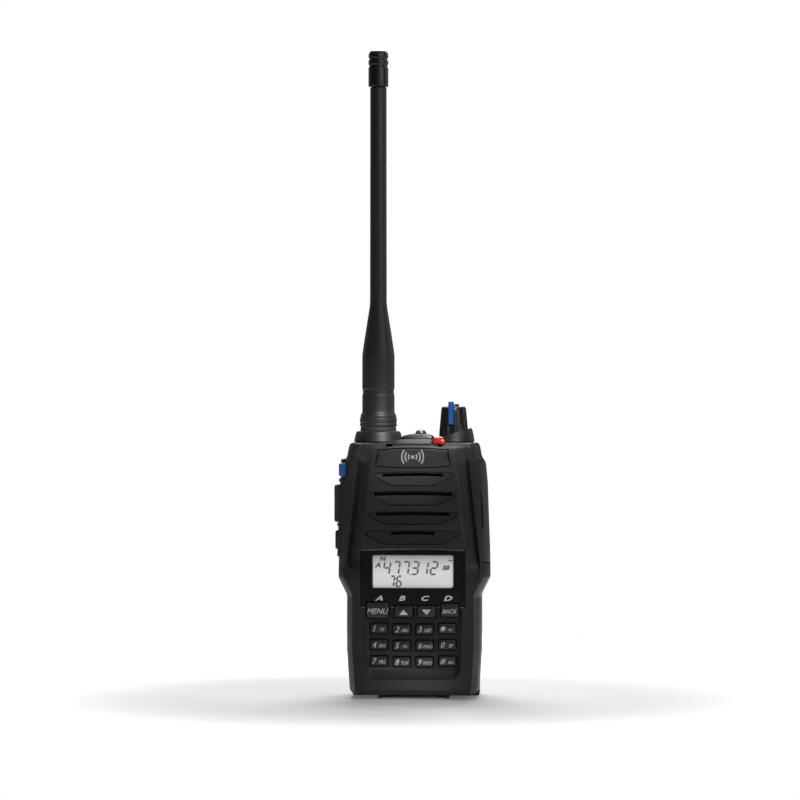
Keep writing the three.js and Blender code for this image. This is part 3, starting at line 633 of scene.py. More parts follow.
def louvre_tools(index, top, base, half, foot, slot):
    """A louvre's cutters: its leaning scoop first, then its slot and the line round it."""
    line = louvre_outline(top, base, half, foot)
    inside = grown(line, -0.2)
    rings = []
    for level in (-1.5, 0.0):
        ring = []
        for p in inside:
            lean = min(1.0, max(0.0, (p.y - base) / (top - base)))
            ring.append((p.x, face_y(p.x) - 1.5 if level < 0 else face_y(p.x) + 0.05 + 0.42 * lean, p.y))
        rings.append(ring)
    scoop = stack(f"scoop_{index}", rings)
    low = bowed(-1, slot, top - 1.5, 0.32, 20)
    high = [(x, z + 1.3) for x, z in reversed(low)]
    slot_cut = solid(f"slot_{index}", [Vector(p) for p in low + high], [(-1.5, 0), (4.2, 0)], on_face)
    return scoop, [slot_cut, groove(f"line_{index}", line, 0.5, 0.75)]


def keypad_recess():
    """The keypad's dished panel: straight sides, sloping lower lip with cut corners."""
    half, top, base, lip = 20.2, LENS_BASE + 0.2, 11.9, 8.2
    mouth = rounded([(-16.9, lip), (16.9, lip), (19.4, base - 0.2), (half, top), (-half, top), (-19.4, base - 0.2)],
                    [0.5, 0.5, 0.8, 0, 0, 0.8], 5)
    floor = rounded([(-16.6, base), (16.6, base), (17.2, base + 0.6), (17.6, top), (-17.6, top), (-17.2, base + 0.6)],
                    [0.2, 0.2, 0.2, 0, 0, 0.2], 5)
    rings = []
    for share, depth in ((0.0, -1.5), (0.0, 0.0), (0.25, 0.6), (0.55, 1.1), (1.0, 1.4)):
        rings.append([(a.x + (b.x - a.x) * share, face_y(a.x) + depth, a.y + (b.y - a.y) * share)
                      for a, b in zip(mouth, floor)])
    return stack("recess", rings)


def side_slab(name, span, faces, y, depth, grow=0.0, material=None, radius=1.2, edge=0.3):
    """A plate in the left side's pocket, whose face slopes from faces[0] at its base to faces[1] at its top."""
    outline = rectangle(y[0] - grow, y[1] + grow, span[0] - grow, span[1] + grow, radius, 5)
    levels = [(-depth, 0.0), (1.5, 0.0)]
    if edge:
        levels = [(-depth, 0.0), (-edge, 0.0), (-edge * 0.3, edge * 0.3), (0.0, edge)]
    rings = []
    for h, inset in levels:
        ring = []
        for p in grown(outline, -inset):
            slope = faces[0] + (faces[1] - faces[0]) * (p.y - span[0]) / (span[1] - span[0])
            ring.append((-(slope + h), p.x, p.y))
        rings.append(ring)
    return stack(name, rings, material)


def side_key_cutters(radius, steps, outside):
    """A cutter for each side key's hole, from X = outside into the case."""
    return [solid(name + "_hole", rectangle(y[0] - GAP, y[1] + GAP, base - GAP, top + GAP, radius, steps),
                  [(outside, 0), (-24, 0)], sideways) for name, base, top, _, y in SIDE_KEYS]


def flank_line(z):
    """The right flank at a height, from the cover's hinge forward and round the front corner."""
    half, panel, _, depth, setback = station(z)
    corner = Vector((half - 2.6, face_y(panel) + min(depth, 2.2) * 0.75 + 0.7 + setback))
    side = Vector((half - 0.3, -12.6))
    return [Vector((half, -2.3)), Vector((half, -9.0)), side, side + (corner - side) * 0.86]


def cover_solid(name, grow, proud, depth, material=None):
    """The accessory cover, or with grow and proud its seat in the shell."""
    rings = []
    low, high = 56.0 - grow, 97.0 + grow
    ends = [(0.0, 0.35), (0.12, 0.12), (0.35, 0.0)] if not grow else [(0.0, 0.0)]
    heights = [(low + h, inset) for h, inset in ends]
    heights += [(float(z), 0.0) for z in np.linspace(low + 1, high - 1, 34)]
    heights += [(high - h, inset) for h, inset in reversed(ends)]
    for z, inset in heights:
        hinge, middle, side, tip = flank_line(z)
        along = (tip - side).normalized()
        out = Vector((-along.y, along.x))
        right = Vector((1, 0))
        slant = (right + out).normalized()
        back = Vector((0, grow - inset))
        front = along * (grow - inset)
        reach = proud - inset
        outer = [hinge + back + right * reach, middle + right * reach, side + slant * reach, tip + front + out * reach]
        bevel = Vector((0, 0 if grow else -1.0))
        inner = [tip + front - out * depth, side - slant * depth, middle - right * depth,
                 hinge + back + bevel - right * depth]
        ring = rounded(outer + inner, [0.3, 1.6, 2.2, 0.4, 0.2, 1.2, 1.2, 0.2], 4)
        rings.append([(p.x, p.y, z) for p in ring])
    return stack(name, rings, material)


PLATE_LINE = arched(14.2, 101.6, 15.3, 95.3, 0.8, 0.8)


def build_shell():
    """The front shell: its walls, hood, arch and collars, hollowed and cut for all that sits in it."""
    shell = stack("v_front_shell", shell_rings(), CASE)
    hood = solid("hood", rectangle(-25.9, 25.9, -0.5, 15.4, 4.5, 8), soft_levels(88.4, 104.3, 1.4, 5), upright)
    crest = rounded([(-13.0, 102.4), (13.8, 102.4), (13.2, 104.4), (8.6, 106.05), (-5.4, 106.05), (-12.4, 104.4)],
                    [0, 0, 0.8, 3.0, 3.0, 0.8], 6)
    arch_levels = [(-18.3, 1.9), (-16.5, 0.35), (-16.1, 0.08), (-15.6, 0.0), (10.6, 0.0), (11.4, 0.5)]
    arch = solid("arch", crest, arch_levels, facing)
    antenna_ring = [(0, 102), (10.3, 102.6), (10.15, 104.7), (10.0, 105.4), (9.55, 107.2), (9.3, 108.3), (9.05, 108.9),
                    (8.7, 109.2), (8.3, 109.3), (0, 109.3)]
    antenna_collar = turned("ring_a", antenna_ring, ANTENNA_X, TOP_AXIS_Y)
    knob_ring = [(0, 102), (9.1, 102.6), (8.85, 104.6), (8.6, 105.4), (8.2, 107.8), (7.9, 109.3), (7.6, 110.2),
                 (7.2, 110.7), (6.9, 110.9), (0, 110.9)]
    knob_collar = turned("ring_k", knob_ring, KNOB_X, TOP_AXIS_Y)
    for collar, radius, x in ((antenna_collar, 9.6, ANTENNA_X), (knob_collar, 8.2, KNOB_X)):
        ring = tube("base_line", [(radius, 104.4), (radius + 2, 104.4), (radius + 2, 105.1), (radius, 105.1)], x=x)
        cut(collar, ring)
    wedge = box("wedge", (-15, 15), (-15, 15), (0, 10))
    wedge.data.transform(Matrix.Translation((KNOB_X * MM, TOP_AXIS_Y * MM, 108.4 * MM)) @ Matrix.Rotation(-0.3, 4, "Y"))
    cut(knob_collar, wedge)
    combined(shell, [hood, arch, antenna_collar, knob_collar], "UNION")
    cavity = [
        box("c1", (-19.4, 19.4), (-16, -11.4), (4.2, 62)),
        box("c2", (-15.4, 15.4), (-16, -11.4), (61, 100.5)),
        box("c3", (-25.1, 25.1), (-12.4, 2.5), (4.2, 49.5)),
        box("c4", (-26.8, 26.8), (-12.4, 2.5), (48.5, 96)),
        box("c5", (-23.6, 23.6), (-12.4, 13.3), (87.3, 101.5)),
    ]
    cut(shell, *cavity)
    tools = [keypad_recess()]
    lens_line = arched(PANEL_HALF, LENS_TOP - 0.25, PANEL_HALF, LENS_BASE - 0.4, 0.55, 0.0)
    tools.append(solid("lens_seat", grown(lens_line, 0.22), [(-2.0, 0.0), (1.95, 0.0)], on_face))
    tools.append(pocket("plate_seat", grown(PLATE_LINE, GAP), 1.4, 0.08))
    tools += function_key_cutters(2 * GAP)
    fine = []
    for index, louvre in enumerate(LOUVRES):
        scoop, lines = louvre_tools(index, *louvre)
        tools.append(scoop)
        fine += lines
    for z, row in NUMBER_KEYS:
        for column, (name, _, _) in enumerate(row):
            x, height = number_place(z, column)
            line = key_outline(x, height, NUMBER_WIDTH + 2 * GAP, NUMBER_HEIGHT + 2 * GAP)
            tools.append(solid(name + "_hole", line, THROUGH, on_face))
    tools.append(box("display_hole", (-16.8, 16.8), (-20, -15), (45.1, 59.2)))
    tools.append(bar_y("mic_hole", 0.65, -20, -11, -18.9, 67.2, segments=16))
    tools.append(turned("antenna_hole", [(0, 100), (3.7, 100), (3.7, 112), (0, 112)], ANTENNA_X, TOP_AXIS_Y))
    tools.append(turned("knob_well", [(0, 105.2), (6.75, 105.2), (6.75, 115), (0, 115)], KNOB_X, TOP_AXIS_Y))
    tools.append(turned("shaft_hole", [(0, 100), (3.7, 100), (3.7, 106), (0, 106)], KNOB_X, TOP_AXIS_Y))
    tools.append(turned("torch_hole", [(0, 100), (2.05, 100), (2.05, 110), (0, 110)], TORCH_X, TORCH_Y, segments=24))
    tools.append(box("led_seat", (7.5, 13.5), (-21, -13.7), (104.1, 112)))
    tools.append(side_slab("frame_seat", **SIDE_FRAME, depth=1.6, grow=GAP, edge=0))
    tools.append(cover_solid("cover_seat", GAP, 2.0, 1.7))
    tools += side_key_cutters(0.9, 3, -34)
    for z in (86.0, 75.0):
        tools.append(bar_x("jack", 3.0, 24, 32, -7.6, z))
    cut(shell, *tools)
    cut(shell, *fine)
    return shown(shell, "radio", "case_plastic", "front_shell", angle=21)


build_shell()

# ---- Nameplate and display ----


def crowned_plate(name, outline, front, back, edge, material):
    """A plate that follows the crowned front, with a rounded rim."""
    centre = sum(outline, Vector((0, 0))) / len(outline)
    rings = [[(p.x, back, p.y) for p in outline]]
    for inset, drop in ((0.0, edge), (edge * 0.3, edge * 0.3), (edge, 0.0)):
        rings.append([on_face(p.x, p.y, front + drop) for p in grown(outline, -inset)])
    last = grown(outline, -edge)
    for share in (0.85, 0.6, 0.3):
        rings.append([on_face(p.x, centre.y + (p.y - centre.y) * share, front) for p in last])
    return stack(name, rings, material)


plate = crowned_plate("v_nameplate", grown(PLATE_LINE, -0.12), 0.15, -17.9, 0.2, CASE_FINE)
shown(plate, "radio", "case_plastic", "nameplate")


def arc_band(name, x, z, radius, width, sweep, side, material, count=18):
    """A raised band along an arc on the nameplate, to the right (side 1) or left (-1) of its centre."""
    rings = []
    for i in range(count + 1):
        a = math.radians(-sweep + 2 * sweep * i / count)
        ring = []
        inner, outer = radius - width / 2, radius + width / 2
        for r, h in ((inner, 0.16), (inner, 0.04), (outer, 0.04), (outer, 0.16)):
            px, pz = x + side * r * math.cos(a), z + r * math.sin(a)
            ring.append(on_face(px, pz, h))
        rings.append(ring)
    return stack(name, rings, material)


emblem = [arc_band(f"wave_{k}_{side}", 0.0, 98.9, 1.7 + 1.35 * k, 0.6, 38, side, PLATE_PRINT)
          for k in range(3) for side in (-1, 1)]
emblem += [bar_y("wave_dot", 0.75, face_y(0) + 0.04, face_y(0) + 0.3, 0.0, 98.9, PLATE_PRINT)]
shown(joined("v_emblem", emblem), "radio", "case_plastic")


def build_lens():
    """The smoked lens: a strip of sections from side to side, cut for the window and the keys."""
    sections = []
    for x in np.linspace(-PANEL_HALF, PANEL_HALF, 61):
        top, face = LENS_TOP - 0.25 + 0.55 * (1 - (x / PANEL_HALF) ** 2), face_y(x)
        sections.append([(x, face + 0.6, LENS_BASE), (x, face + 0.1, LENS_BASE + 0.45), (x, face + 0.1, top - 0.45),
                         (x, face + 0.6, top), (x, LENS_BACK, top), (x, LENS_BACK, LENS_BASE)])
    lens = stack("v_display_lens", sections, LENS_MATERIAL)
    window_levels = [(-2.0, -0.25), (0.08, -0.25), (0.35, 0.0), (4.0, 0.0)]
    window = solid("window", rectangle(*WINDOW, 1.0, 5), window_levels, on_face)
    cut(lens, *function_key_cutters(2 * GAP), window)
    return shown(lens, "radio", "display_glass", "display_lens")


build_lens()

# A pale strip along the lens's lower edge, broken by the function keys: a painted highlight that stands in for the
# light caught by the chamfer between lens and shell.
lower_strip = solid("v_lower_highlight_strip", rectangle(-21.1, 21.1, 37.45, 37.85, 0.1, 2), [(0.25, 0), (1.5, 0)], on_face, LOWER_HIGHLIGHT)
cut(lower_strip, *function_key_cutters(3 * GAP))
shown(lower_strip, "radio", "gloss_black")
# A pale strip along the lens's arched top: a painted highlight that stands in for the light caught by the lens's top
# bevel.
upper_strip_line = arched(20.9, LENS_TOP - 0.12, 20.9, LENS_TOP - 0.5, 0.55, -0.55)
upper_strip = solid("v_upper_highlight_strip", upper_strip_line, [(0.12, 0), (0.7, 0)], on_face, UPPER_HIGHLIGHT)
shown(upper_strip, "radio", "gloss_black")

window = rectangle(WINDOW[0] + 0.02, WINDOW[1] - 0.02, WINDOW[2] + 0.02, WINDOW[3] - 0.02, 1.0, 5)
clear = solid("v_display_pane", window, [(0.6, 0), (0.9, 0)], on_face, PANE)
shown(clear, "radio", "clear_lens")

lcd = solid("v_lcd_module", rectangle(-16.3, 16.3, 45.6, 58.8, 0.9, 5), [(LCD_Y, 0.0), (-13.6, 0.0)], facing, LCD)
shown(lcd, "radio", "lcd", "lcd_module")

SEGMENTS = {"0": "abcdef", "1": "bc", "2": "abged", "3": "abgcd", "4": "fgbc", "5": "afgcd", "6": "afgedc",
            "7": "abc", "8": "abcdefg", "9": "abcdfg"}


def seven_segment(text, x, z, height, pitch, slant=0.16, width=0.7):
    """Seven-segment digits on the display, from the lower left corner of the first."""
    reach = height * 0.5
    across = pitch * 0.62
    lines = {
        "a": ((0, height), (across, height)),
        "b": ((across, height), (across, reach)),
        "c": ((across, reach), (across, 0)),
        "d": ((0, 0), (across, 0)),
        "e": ((0, 0), (0, reach)),
        "f": ((0, reach), (0, height)),
        "g": ((0, reach), (across, reach)),
    }
    parts = []
    cursor = x
    for index, char in enumerate(text):
        if char == ".":
            dot = rectangle(cursor - 0.75, cursor - 0.25, z - 0.25, z + 0.25, 0.1, 2)
            parts.append(solid(f"dot_{index}", dot, LCD_MARK, facing, INK))
            continue
        for key in SEGMENTS[char]:
            a, b = (Vector(p) for p in lines[key])
            along = (b - a).normalized()
            side = Vector((-along.y, along.x)) * width / 2
            a, b = a + along * 0.14, b - along * 0.14
            tip = along * width * 0.35
            corners = [a, a + tip - side, b - tip - side, b, b - tip + side, a + tip + side]
            placed = [Vector((cursor + p.x + slant * p.y, z + p.y)) for p in corners]
            parts.append(solid(f"seg_{index}{key}", placed, LCD_MARK, facing, INK))
        cursor += pitch
    return parts


def lettering(name, text, size, x, z, material, depth=None, stretch=1.0, shear=0.22, bold=0.0, back=0.0, front=-0.05):
    """Raised lettering centred on (x, z); depth gives the Y of the surface behind a point."""
    curve = bpy.data.curves.new(name, "FONT")
    curve.body = text
    curve.size = 1.0
    curve.shear = shear
    curve.offset = bold
    curve.extrude = 0.5
    curve.resolution_u = 3
    carrier = bpy.data.objects.new(name, curve)
    bpy.context.scene.collection.objects.link(carrier)
    graph = bpy.context.evaluated_depsgraph_get()
    mesh = bpy.data.meshes.new_from_object(carrier.evaluated_get(graph))
    bpy.data.objects.remove(carrier)
    points = np.array([v.co for v in mesh.vertices])
    middle = (points[:, :2].min(0) + points[:, :2].max(0)) / 2
    tall = points[:, 1].max() - points[:, 1].min()
    for vertex, p in zip(mesh.vertices, points):
        u = x + (p[0] - middle[0]) / tall * size * stretch
        v = z + (p[1] - middle[1]) / tall * size
        y = depth(u, v) if depth else LCD_Y
        vertex.co = (u * MM, (y + (front if p[2] > 0 else back)) * MM, v * MM)
    mesh.materials.clear()
    mesh.materials.append(material)
    obj = bpy.data.objects.new(name, mesh)
    bpy.context.scene.collection.objects.link(obj)
    return outward(obj)


digits = seven_segment("477.312", -12.2, 51.1, 5.1, 3.85)
digits += seven_segment("76", -9.8, 46.1, 4.2, 2.9)
digits.append(lettering("lcd_n", "N", 1.9, -12.2, 57.5, INK, stretch=1.25, bold=0.06))
digits.append(lettering("lcd_a", "A", 2.1, -14.3, 54.9, INK, stretch=1.1, bold=0.06))
digits.append(lettering("lcd_50", "50", 2.0, 13.5, 53.8, INK, stretch=1.15, bold=0.07))
digits.append(solid("lcd_dash", rectangle(14.6, 16.0, 56.5, 57.0, 0.1, 2), LCD_MARK, facing, INK))
shown(joined("v_lcd_marks", digits), "radio", "lcd")

letters = []
for letter, x in (("A", -13.8), ("B", -4.3), ("C", 5.2), ("D", 14.4)):
    letters.append(lettering("mark_" + letter, letter, 2.1, x, 41.4, PRINT, lambda u, v: face_y(u) + 0.1,
                             1.55, 0.3, 0.035))
shown(joined("v_lens_letters", letters), "radio", "display_glass")

# ---- Keys ----


def key_depth(x, z, width, height, front, dome):
    """The Y of a domed key top that leans with the crowned front."""
    base = face_y(x) + front
    lean = (face_y(x + width / 2) - face_y(x - width / 2)) / width

    def depth(u, v):
        across = max(0.0, 1 - ((u - x) / (width / 2)) ** 2)
        along = max(0.0, 1 - ((v - z) / (height / 2)) ** 2)
        return base + lean * (u - x) - dome * across * along

    return depth


def build_key(name, x, z, width, height, front, dome):
    outline = key_outline(x, z, width, height)
    depth = key_depth(x, z, width, height, front, dome)
    rings = [[(p.x, -14.8, p.y) for p in outline]]
    for inset, drop in ((0.0, 0.62), (0.05, 0.38), (0.16, 0.2), (0.34, 0.07), (0.58, 0.0)):
        rings.append([(p.x, depth(p.x, p.y) + drop, p.y) for p in grown(outline, -inset)])
    last = grown(outline, -0.58)
    for share in (0.75, 0.5, 0.25):
        ring = [(x + (p.x - x) * share, z + (p.y - z) * share) for p in last]
        rings.append([(u, depth(u, v), v) for u, v in ring])
    rings.append([(x, depth(x, z), z)])
    key = stack("v_" + name, rings, KEYS)
    shown(key, name + "_button", "key_plastic", name)
    return depth


def printed(name, outline, depth, material):
    """A thin raised mark on a key's top."""
    rings = [[(p.x, depth(p.x, p.y) + h, p.y) for p in outline] for h in (0.02, -0.05)]
    return stack(name, rings, material)


def star(name, x, z, radius, depth, material):
    corners = []
    for i in range(10):
        a = math.pi / 2 + i * math.pi / 5
        r = radius if i % 2 == 0 else radius * 0.45
        corners.append(Vector((x + r * math.cos(a) + 0.22 * r * math.sin(a), z + r * math.sin(a))))
    return printed(name, corners, depth, material)


def triangle(name, x, z, half, height, side, depth, material):
    foot, tip = z - side * height / 2, z + side * height / 2
    outline = rounded([(x - half, foot), (x + half, foot), (x, tip)], 0.25, 3)
    return printed(name, outline, depth, material)


for name, x, z, width, height, legend in FUNCTION_KEYS:
    depth = build_key(name, x, z, width, height, 0.28, 0.2)
    if legend in ("up", "down"):
        mark = triangle("v_legend_" + legend, x, z - 0.35, 1.85, 2.2, 1 if legend == "up" else -1, depth, PRINT)
    else:
        size, stretch = (2.2, 0.95) if legend == "MENU" else (1.7, 0.9)
        mark = lettering("v_legend_" + legend.lower(), legend, size, x, z - 0.4, PRINT, depth, stretch, 0.3, 0.0, 0.02)
    shown(mark, name + "_button", "key_plastic")

for z, row in NUMBER_KEYS:
    for column, (name, legend, second) in enumerate(row):
        x, height = number_place(z, column)
        depth = build_key(name, x, height, NUMBER_WIDTH, NUMBER_HEIGHT, 0.5, 0.15)
        if legend == "star":
            first = star("mark", x - 1.7, height, 1.4, depth, PRINT)
        else:
            first = lettering("mark", legend, 2.35, x - 1.75, height, PRINT, depth, 0.95, 0.3, 0.0, 0.02)
        small = lettering("small", second, 1.4, x + 1.4, height - 0.35, PRINT, depth, 0.8, 0.25, 0.0, 0.02)
        shown(joined("v_legend_" + name[4:], [first, small]), name + "_button", "key_plastic")

# ---- Lights and torch on the top ----


def build_led():
    outline = rectangle(7.8, 13.2, -17.2, -14.1, 1.6, 6)
    levels = [(104.2, 0.2), (104.4, 0.0), (105.0, 0.05), (105.8, 0.25), (106.4, 0.6), (106.8, 1.0), (107.0, 1.3),
              (107.1, 1.5)]
    light = solid("v_status_led", outline, levels, upright, RED)
    return shown(light, "radio", "red_lens", "status_led", angle=60)


build_led()

housing_line = rounded([(-5.6, 104.6), (8.2, 104.6), (7.7, 107.4), (4.6, 108.2), (-1.2, 108.2), (-4.9, 107.4)],
                       [0, 0, 1.0, 0.8, 0.8, 1.0], 4)
housing_levels = [(-11.6, 0.7), (-11.3, 0.2), (-10.8, 0.0), (0.8, 0.0), (1.5, 0.6)]
housing = solid("v_torch_housing", housing_line, housing_levels, facing, CAP)
torch_bore = [(0, 100), (2.0, 100), (2.0, 107.4), (2.5, 108.4), (2.5, 112), (0, 112)]
cut(housing, turned("torch_bore", torch_bore, TORCH_X, TORCH_Y, segments=32))
shown(housing, "radio", "gloss_black")

dome = [(0, 101), (1.7, 101), (1.7, 107.9), (2.2, 108.1), (2.25, 108.5)]
dome += [(2.2 * math.cos(a), 108.6 + 1.4 * math.sin(a)) for a in np.linspace(0.1, math.pi / 2 - 0.12, 7)]
dome += [(0, 110)]
shown(turned("v_torch_lens", dome, TORCH_X, TORCH_Y, CLEAR, 40), "radio", "clear_lens", "torch_lens", angle=50)

# ---- Antenna ----


def eased(profile, radius=0.35, steps=3):
    """A profile with its inner corners rounded."""
    line = [Vector(p) for p in profile]
    out = [tuple(line[0])]
    for before, p, after in zip(line, line[1:], line[2:]):
        a, b = (before - p), (after - p)
        start = p + a.normalized() * min(radius, a.length * 0.45)
        end = p + b.normalized() * min(radius, b.length * 0.45)
        out += [tuple((1 - t) ** 2 * start + 2 * t * (1 - t) * p + t * t * end) for t in np.linspace(0, 1, steps + 1)]
    return out + [tuple(line[-1])]


WHIP_LINE = [(0, 115.0), (7.4, 115.0), (7.4, 115.7), (6.65, 117.0), (6.65, 124.1), (6.4, 124.3), (6.4, 126.4),
             (6.65, 126.6), (6.65, 140.5), (6.35, 142.8), (5.7, 147.2), (4.4, 155.5), (3.62, 160.4), (3.45, 162.5),
             (3.4, 206), (3.38, 250.8), (0, 250.8)]
whip = turned("v_antenna_whip", eased(WHIP_LINE, 0.5), ANTENNA_X, TOP_AXIS_Y, WHIP, 72)
shown(whip, "antenna", "whip_rubber", "antenna_whip")
CAP_LINE = [(0, 251.1), (3.95, 251.1), (4.1, 251.5), (4.1, 258.9), (3.75, 259.2), (3.75, 260.0), (4.1, 260.3),
            (4.1, 261.8), (3.75, 262.1), (3.75, 262.8), (4.1, 263.1), (4.0, 264.6), (3.4, 265.6), (2.4, 266), (0, 266)]
cap = turned("v_antenna_cap", eased(CAP_LINE, 0.2), ANTENNA_X, TOP_AXIS_Y, CAP, 64)
shown(cap, "antenna", "gloss_black", "antenna_cap")

collar_loop = [(3.7, 111.04), (7.3, 111.04), (7.6, 111.5), (7.6, 112.4), (7.4, 112.55), (7.4, 112.8), (7.6, 112.95),
               (7.6, 114.6), (7.2, 115.1), (3.7, 115.1)]
shown(tube("v_antenna_collar", collar_loop, WHIP), "antenna", "gloss_black", "antenna_collar")
seal = tube("v_antenna_seal", [(3.7, 109.1), (7.35, 109.1), (7.35, 111.0), (3.7, 111.0)], RUBBER)
shown(seal, "radio", "rubber", "antenna_seal")

# ---- Volume control ----


def marker_place():
    """Where the marker sits: on the knob's axis, turned a little past the front."""
    turn = Matrix.Rotation(-math.pi / 2 - 0.16, 4, "Z")
    return Matrix.Translation((KNOB_X * MM, TOP_AXIS_Y * MM, 0)) @ turn


def build_knob():
    """The fluted, tapered knob with its top boss, its bore for the shaft and the marker set in its side."""
    flutes, steps = 9, 12
    base, base_radius, top_radius, tall = 105.6, 6.3, 5.05, 13.8
    rings = []
    for z, inset in [(105.6, 0.3), (105.9, 0.0), (109.0, 0.0), (112.5, 0.0), (116.0, 0.0), (118.4, 0.0), (118.9, 0.12),
                     (119.2, 0.35), (119.4, 0.8)]:
        radius = base_radius + (top_radius - base_radius) * (z - base) / tall - inset
        ring = []
        for i in range(flutes * steps):
            a = i / (flutes * steps) * math.tau
            wave = math.cos(a * flutes)
            depth = 0.55 * (0.5 - 0.5 * max(-1.0, min(1.0, wave * 2.2))) if z > 106.6 else 0.25
            r = radius - depth
            ring.append((KNOB_X + r * math.cos(a), TOP_AXIS_Y + r * math.sin(a), z))
        rings.append(ring)
    dish = 0.62
    rings.append([(KNOB_X + (x - KNOB_X) * dish, TOP_AXIS_Y + (y - TOP_AXIS_Y) * dish, 119.2) for x, y, _ in rings[-1]])
    knob = stack("v_volume_knob", rings, KNOB)
    boss = [(0, 118.5), (2.3, 118.5), (2.3, 119.9), (2.1, 120.3), (1.6, 120.5), (0, 120.5)]
    combined(knob, [turned("boss", boss, KNOB_X, TOP_AXIS_Y, segments=32)], "UNION")
    slit = box("slit", (3.4, 7.2), (-1.25, 1.25), (111.5, 123))
    slit.data.transform(marker_place())
    bore = turned("bore", [(0, 104), (3.3, 104), (3.3, 118), (0, 118)], KNOB_X, TOP_AXIS_Y, segments=32)
    cut(knob, slit, bore)
    shown(knob, "volume_control", "gloss_black", "volume_knob")
    rib = box("v_knob_marker", (3.9, 6.0), (-1.05, 1.05), (111.9, 121.5), BLUE, 0.45)
    rib.data.transform(marker_place())
    shown(rib, "volume_control", "blue_plastic", "knob_marker")


build_knob()

# ---- Side keys, side frame and accessory cover ----


def rib_cutter(name, x, ends, z, deep, tall, segments):
    """A cutter for a shallow round groove across a side, from one Y to another."""
    points = circle(segments)
    return stack(name, [[(x + deep * p.x, y, z + tall * p.y) for p in points] for y in ends])


def build_side_key(name, base, top, face, y, body, slot, material, ribs):
    """A side key: a cushion-shaped block with grip ribs across it."""
    outline = rectangle(y[0], y[1], base, top, 1.3, 5)
    foot = -24.8 if name == "ptt_bar" else -26.9
    levels = [(foot, 0.0), (face + 0.9, 0.0), (face + 0.45, 0.12), (face + 0.16, 0.4), (face + 0.04, 0.75)]
    rings = [[(h, p.x, p.y) for p in grown(outline, -inset)] for h, inset in levels]
    key = stack("v_" + name, rings, material)
    cut(key, *[rib_cutter(f"rib_{z}", face - 0.25, (y[0] + 1.4, y[1] - 1.4), z, 0.62, 0.5, 12) for z in ribs])
    shown(key, body, slot, name)


build_side_key(*SIDE_KEYS[0], "upper_side_button", "blue_plastic", BLUE, [92.2, 93.55, 94.9])
build_side_key(*SIDE_KEYS[1], "push_to_talk", "rubber", RUBBER, [75.0 + 1.6 * k for k in range(7)])
build_side_key(*SIDE_KEYS[2], "lower_side_button", "rubber", RUBBER, [63.4, 64.85, 66.3])


def build_side_frame():
    """The plate round the side keys, with a raised bar above and below the middle key."""
    slab = side_slab("v_side_frame", **SIDE_FRAME, depth=1.3, material=CASE_FINE)
    bumps = []
    for z0, z1 in ((70.4, 71.9), (88.6, 90.0)):
        face = -float(np.interp((z0 + z1) / 2, SIDE_FRAME["span"], SIDE_FRAME["faces"]))
        levels = [(face - 0.65, 0.35), (face - 0.4, 0.08), (face + 0.6, 0.0)]
        bumps.append(solid("bump", rectangle(-11.5, -4.5, z0, z1, 0.6, 4), levels, sideways))
    combined(slab, bumps, "UNION")
    cut(slab, *side_key_cutters(1.3, 5, -36))
    shown(slab, "radio", "case_plastic", "side_frame")


build_side_frame()


def build_cover():
    """The rubber cover over the accessory sockets, wrapped round the front corner, with a finger notch."""
    slab = cover_solid("v_accessory_cover", 0.0, 0.0, 1.4, RUBBER)
    rings = []
    for z in np.linspace(69.6, 84.8, 19):
        line = flank_line(z)
        tip, along = line[3], (line[2] - line[3]).normalized()
        out = Vector((-along.y, along.x))
        bow = 0.15 + 0.8 * max(0.0, 1 - ((z - 76.2) / 8.2) ** 2)
        corners = [tip - along + out, tip + along * bow + out, tip + along * bow - out * 2, tip - along - out * 2]
        rings.append([(p.x, p.y, z) for p in corners])
    tools = [stack("notch", rings)]
    for z in (60.6, 62.6, 64.6):
        tools.append(rib_cutter(f"cover_rib_{z}", flank_line(z)[0].x + 0.22, (-10.0, -4.4), z, 0.5, 0.45, 10))
    cut(slab, *tools)
    shown(slab, "jack_cover", "rubber", "accessory_cover")


build_cover()

# ---- Battery ----


def battery_outline(inset, front=4.8):
    half, back, chamfer = 26.2 - inset, 17.5 - inset, 3.0
    corners = [(-half, front), (half, front), (half, back - chamfer), (half - chamfer, back), (-half + chamfer, back),
               (-half, back - chamfer)]
    return rounded(corners, [0.3, 0.3, 1.6, 1.6, 1.6, 1.6], 5)


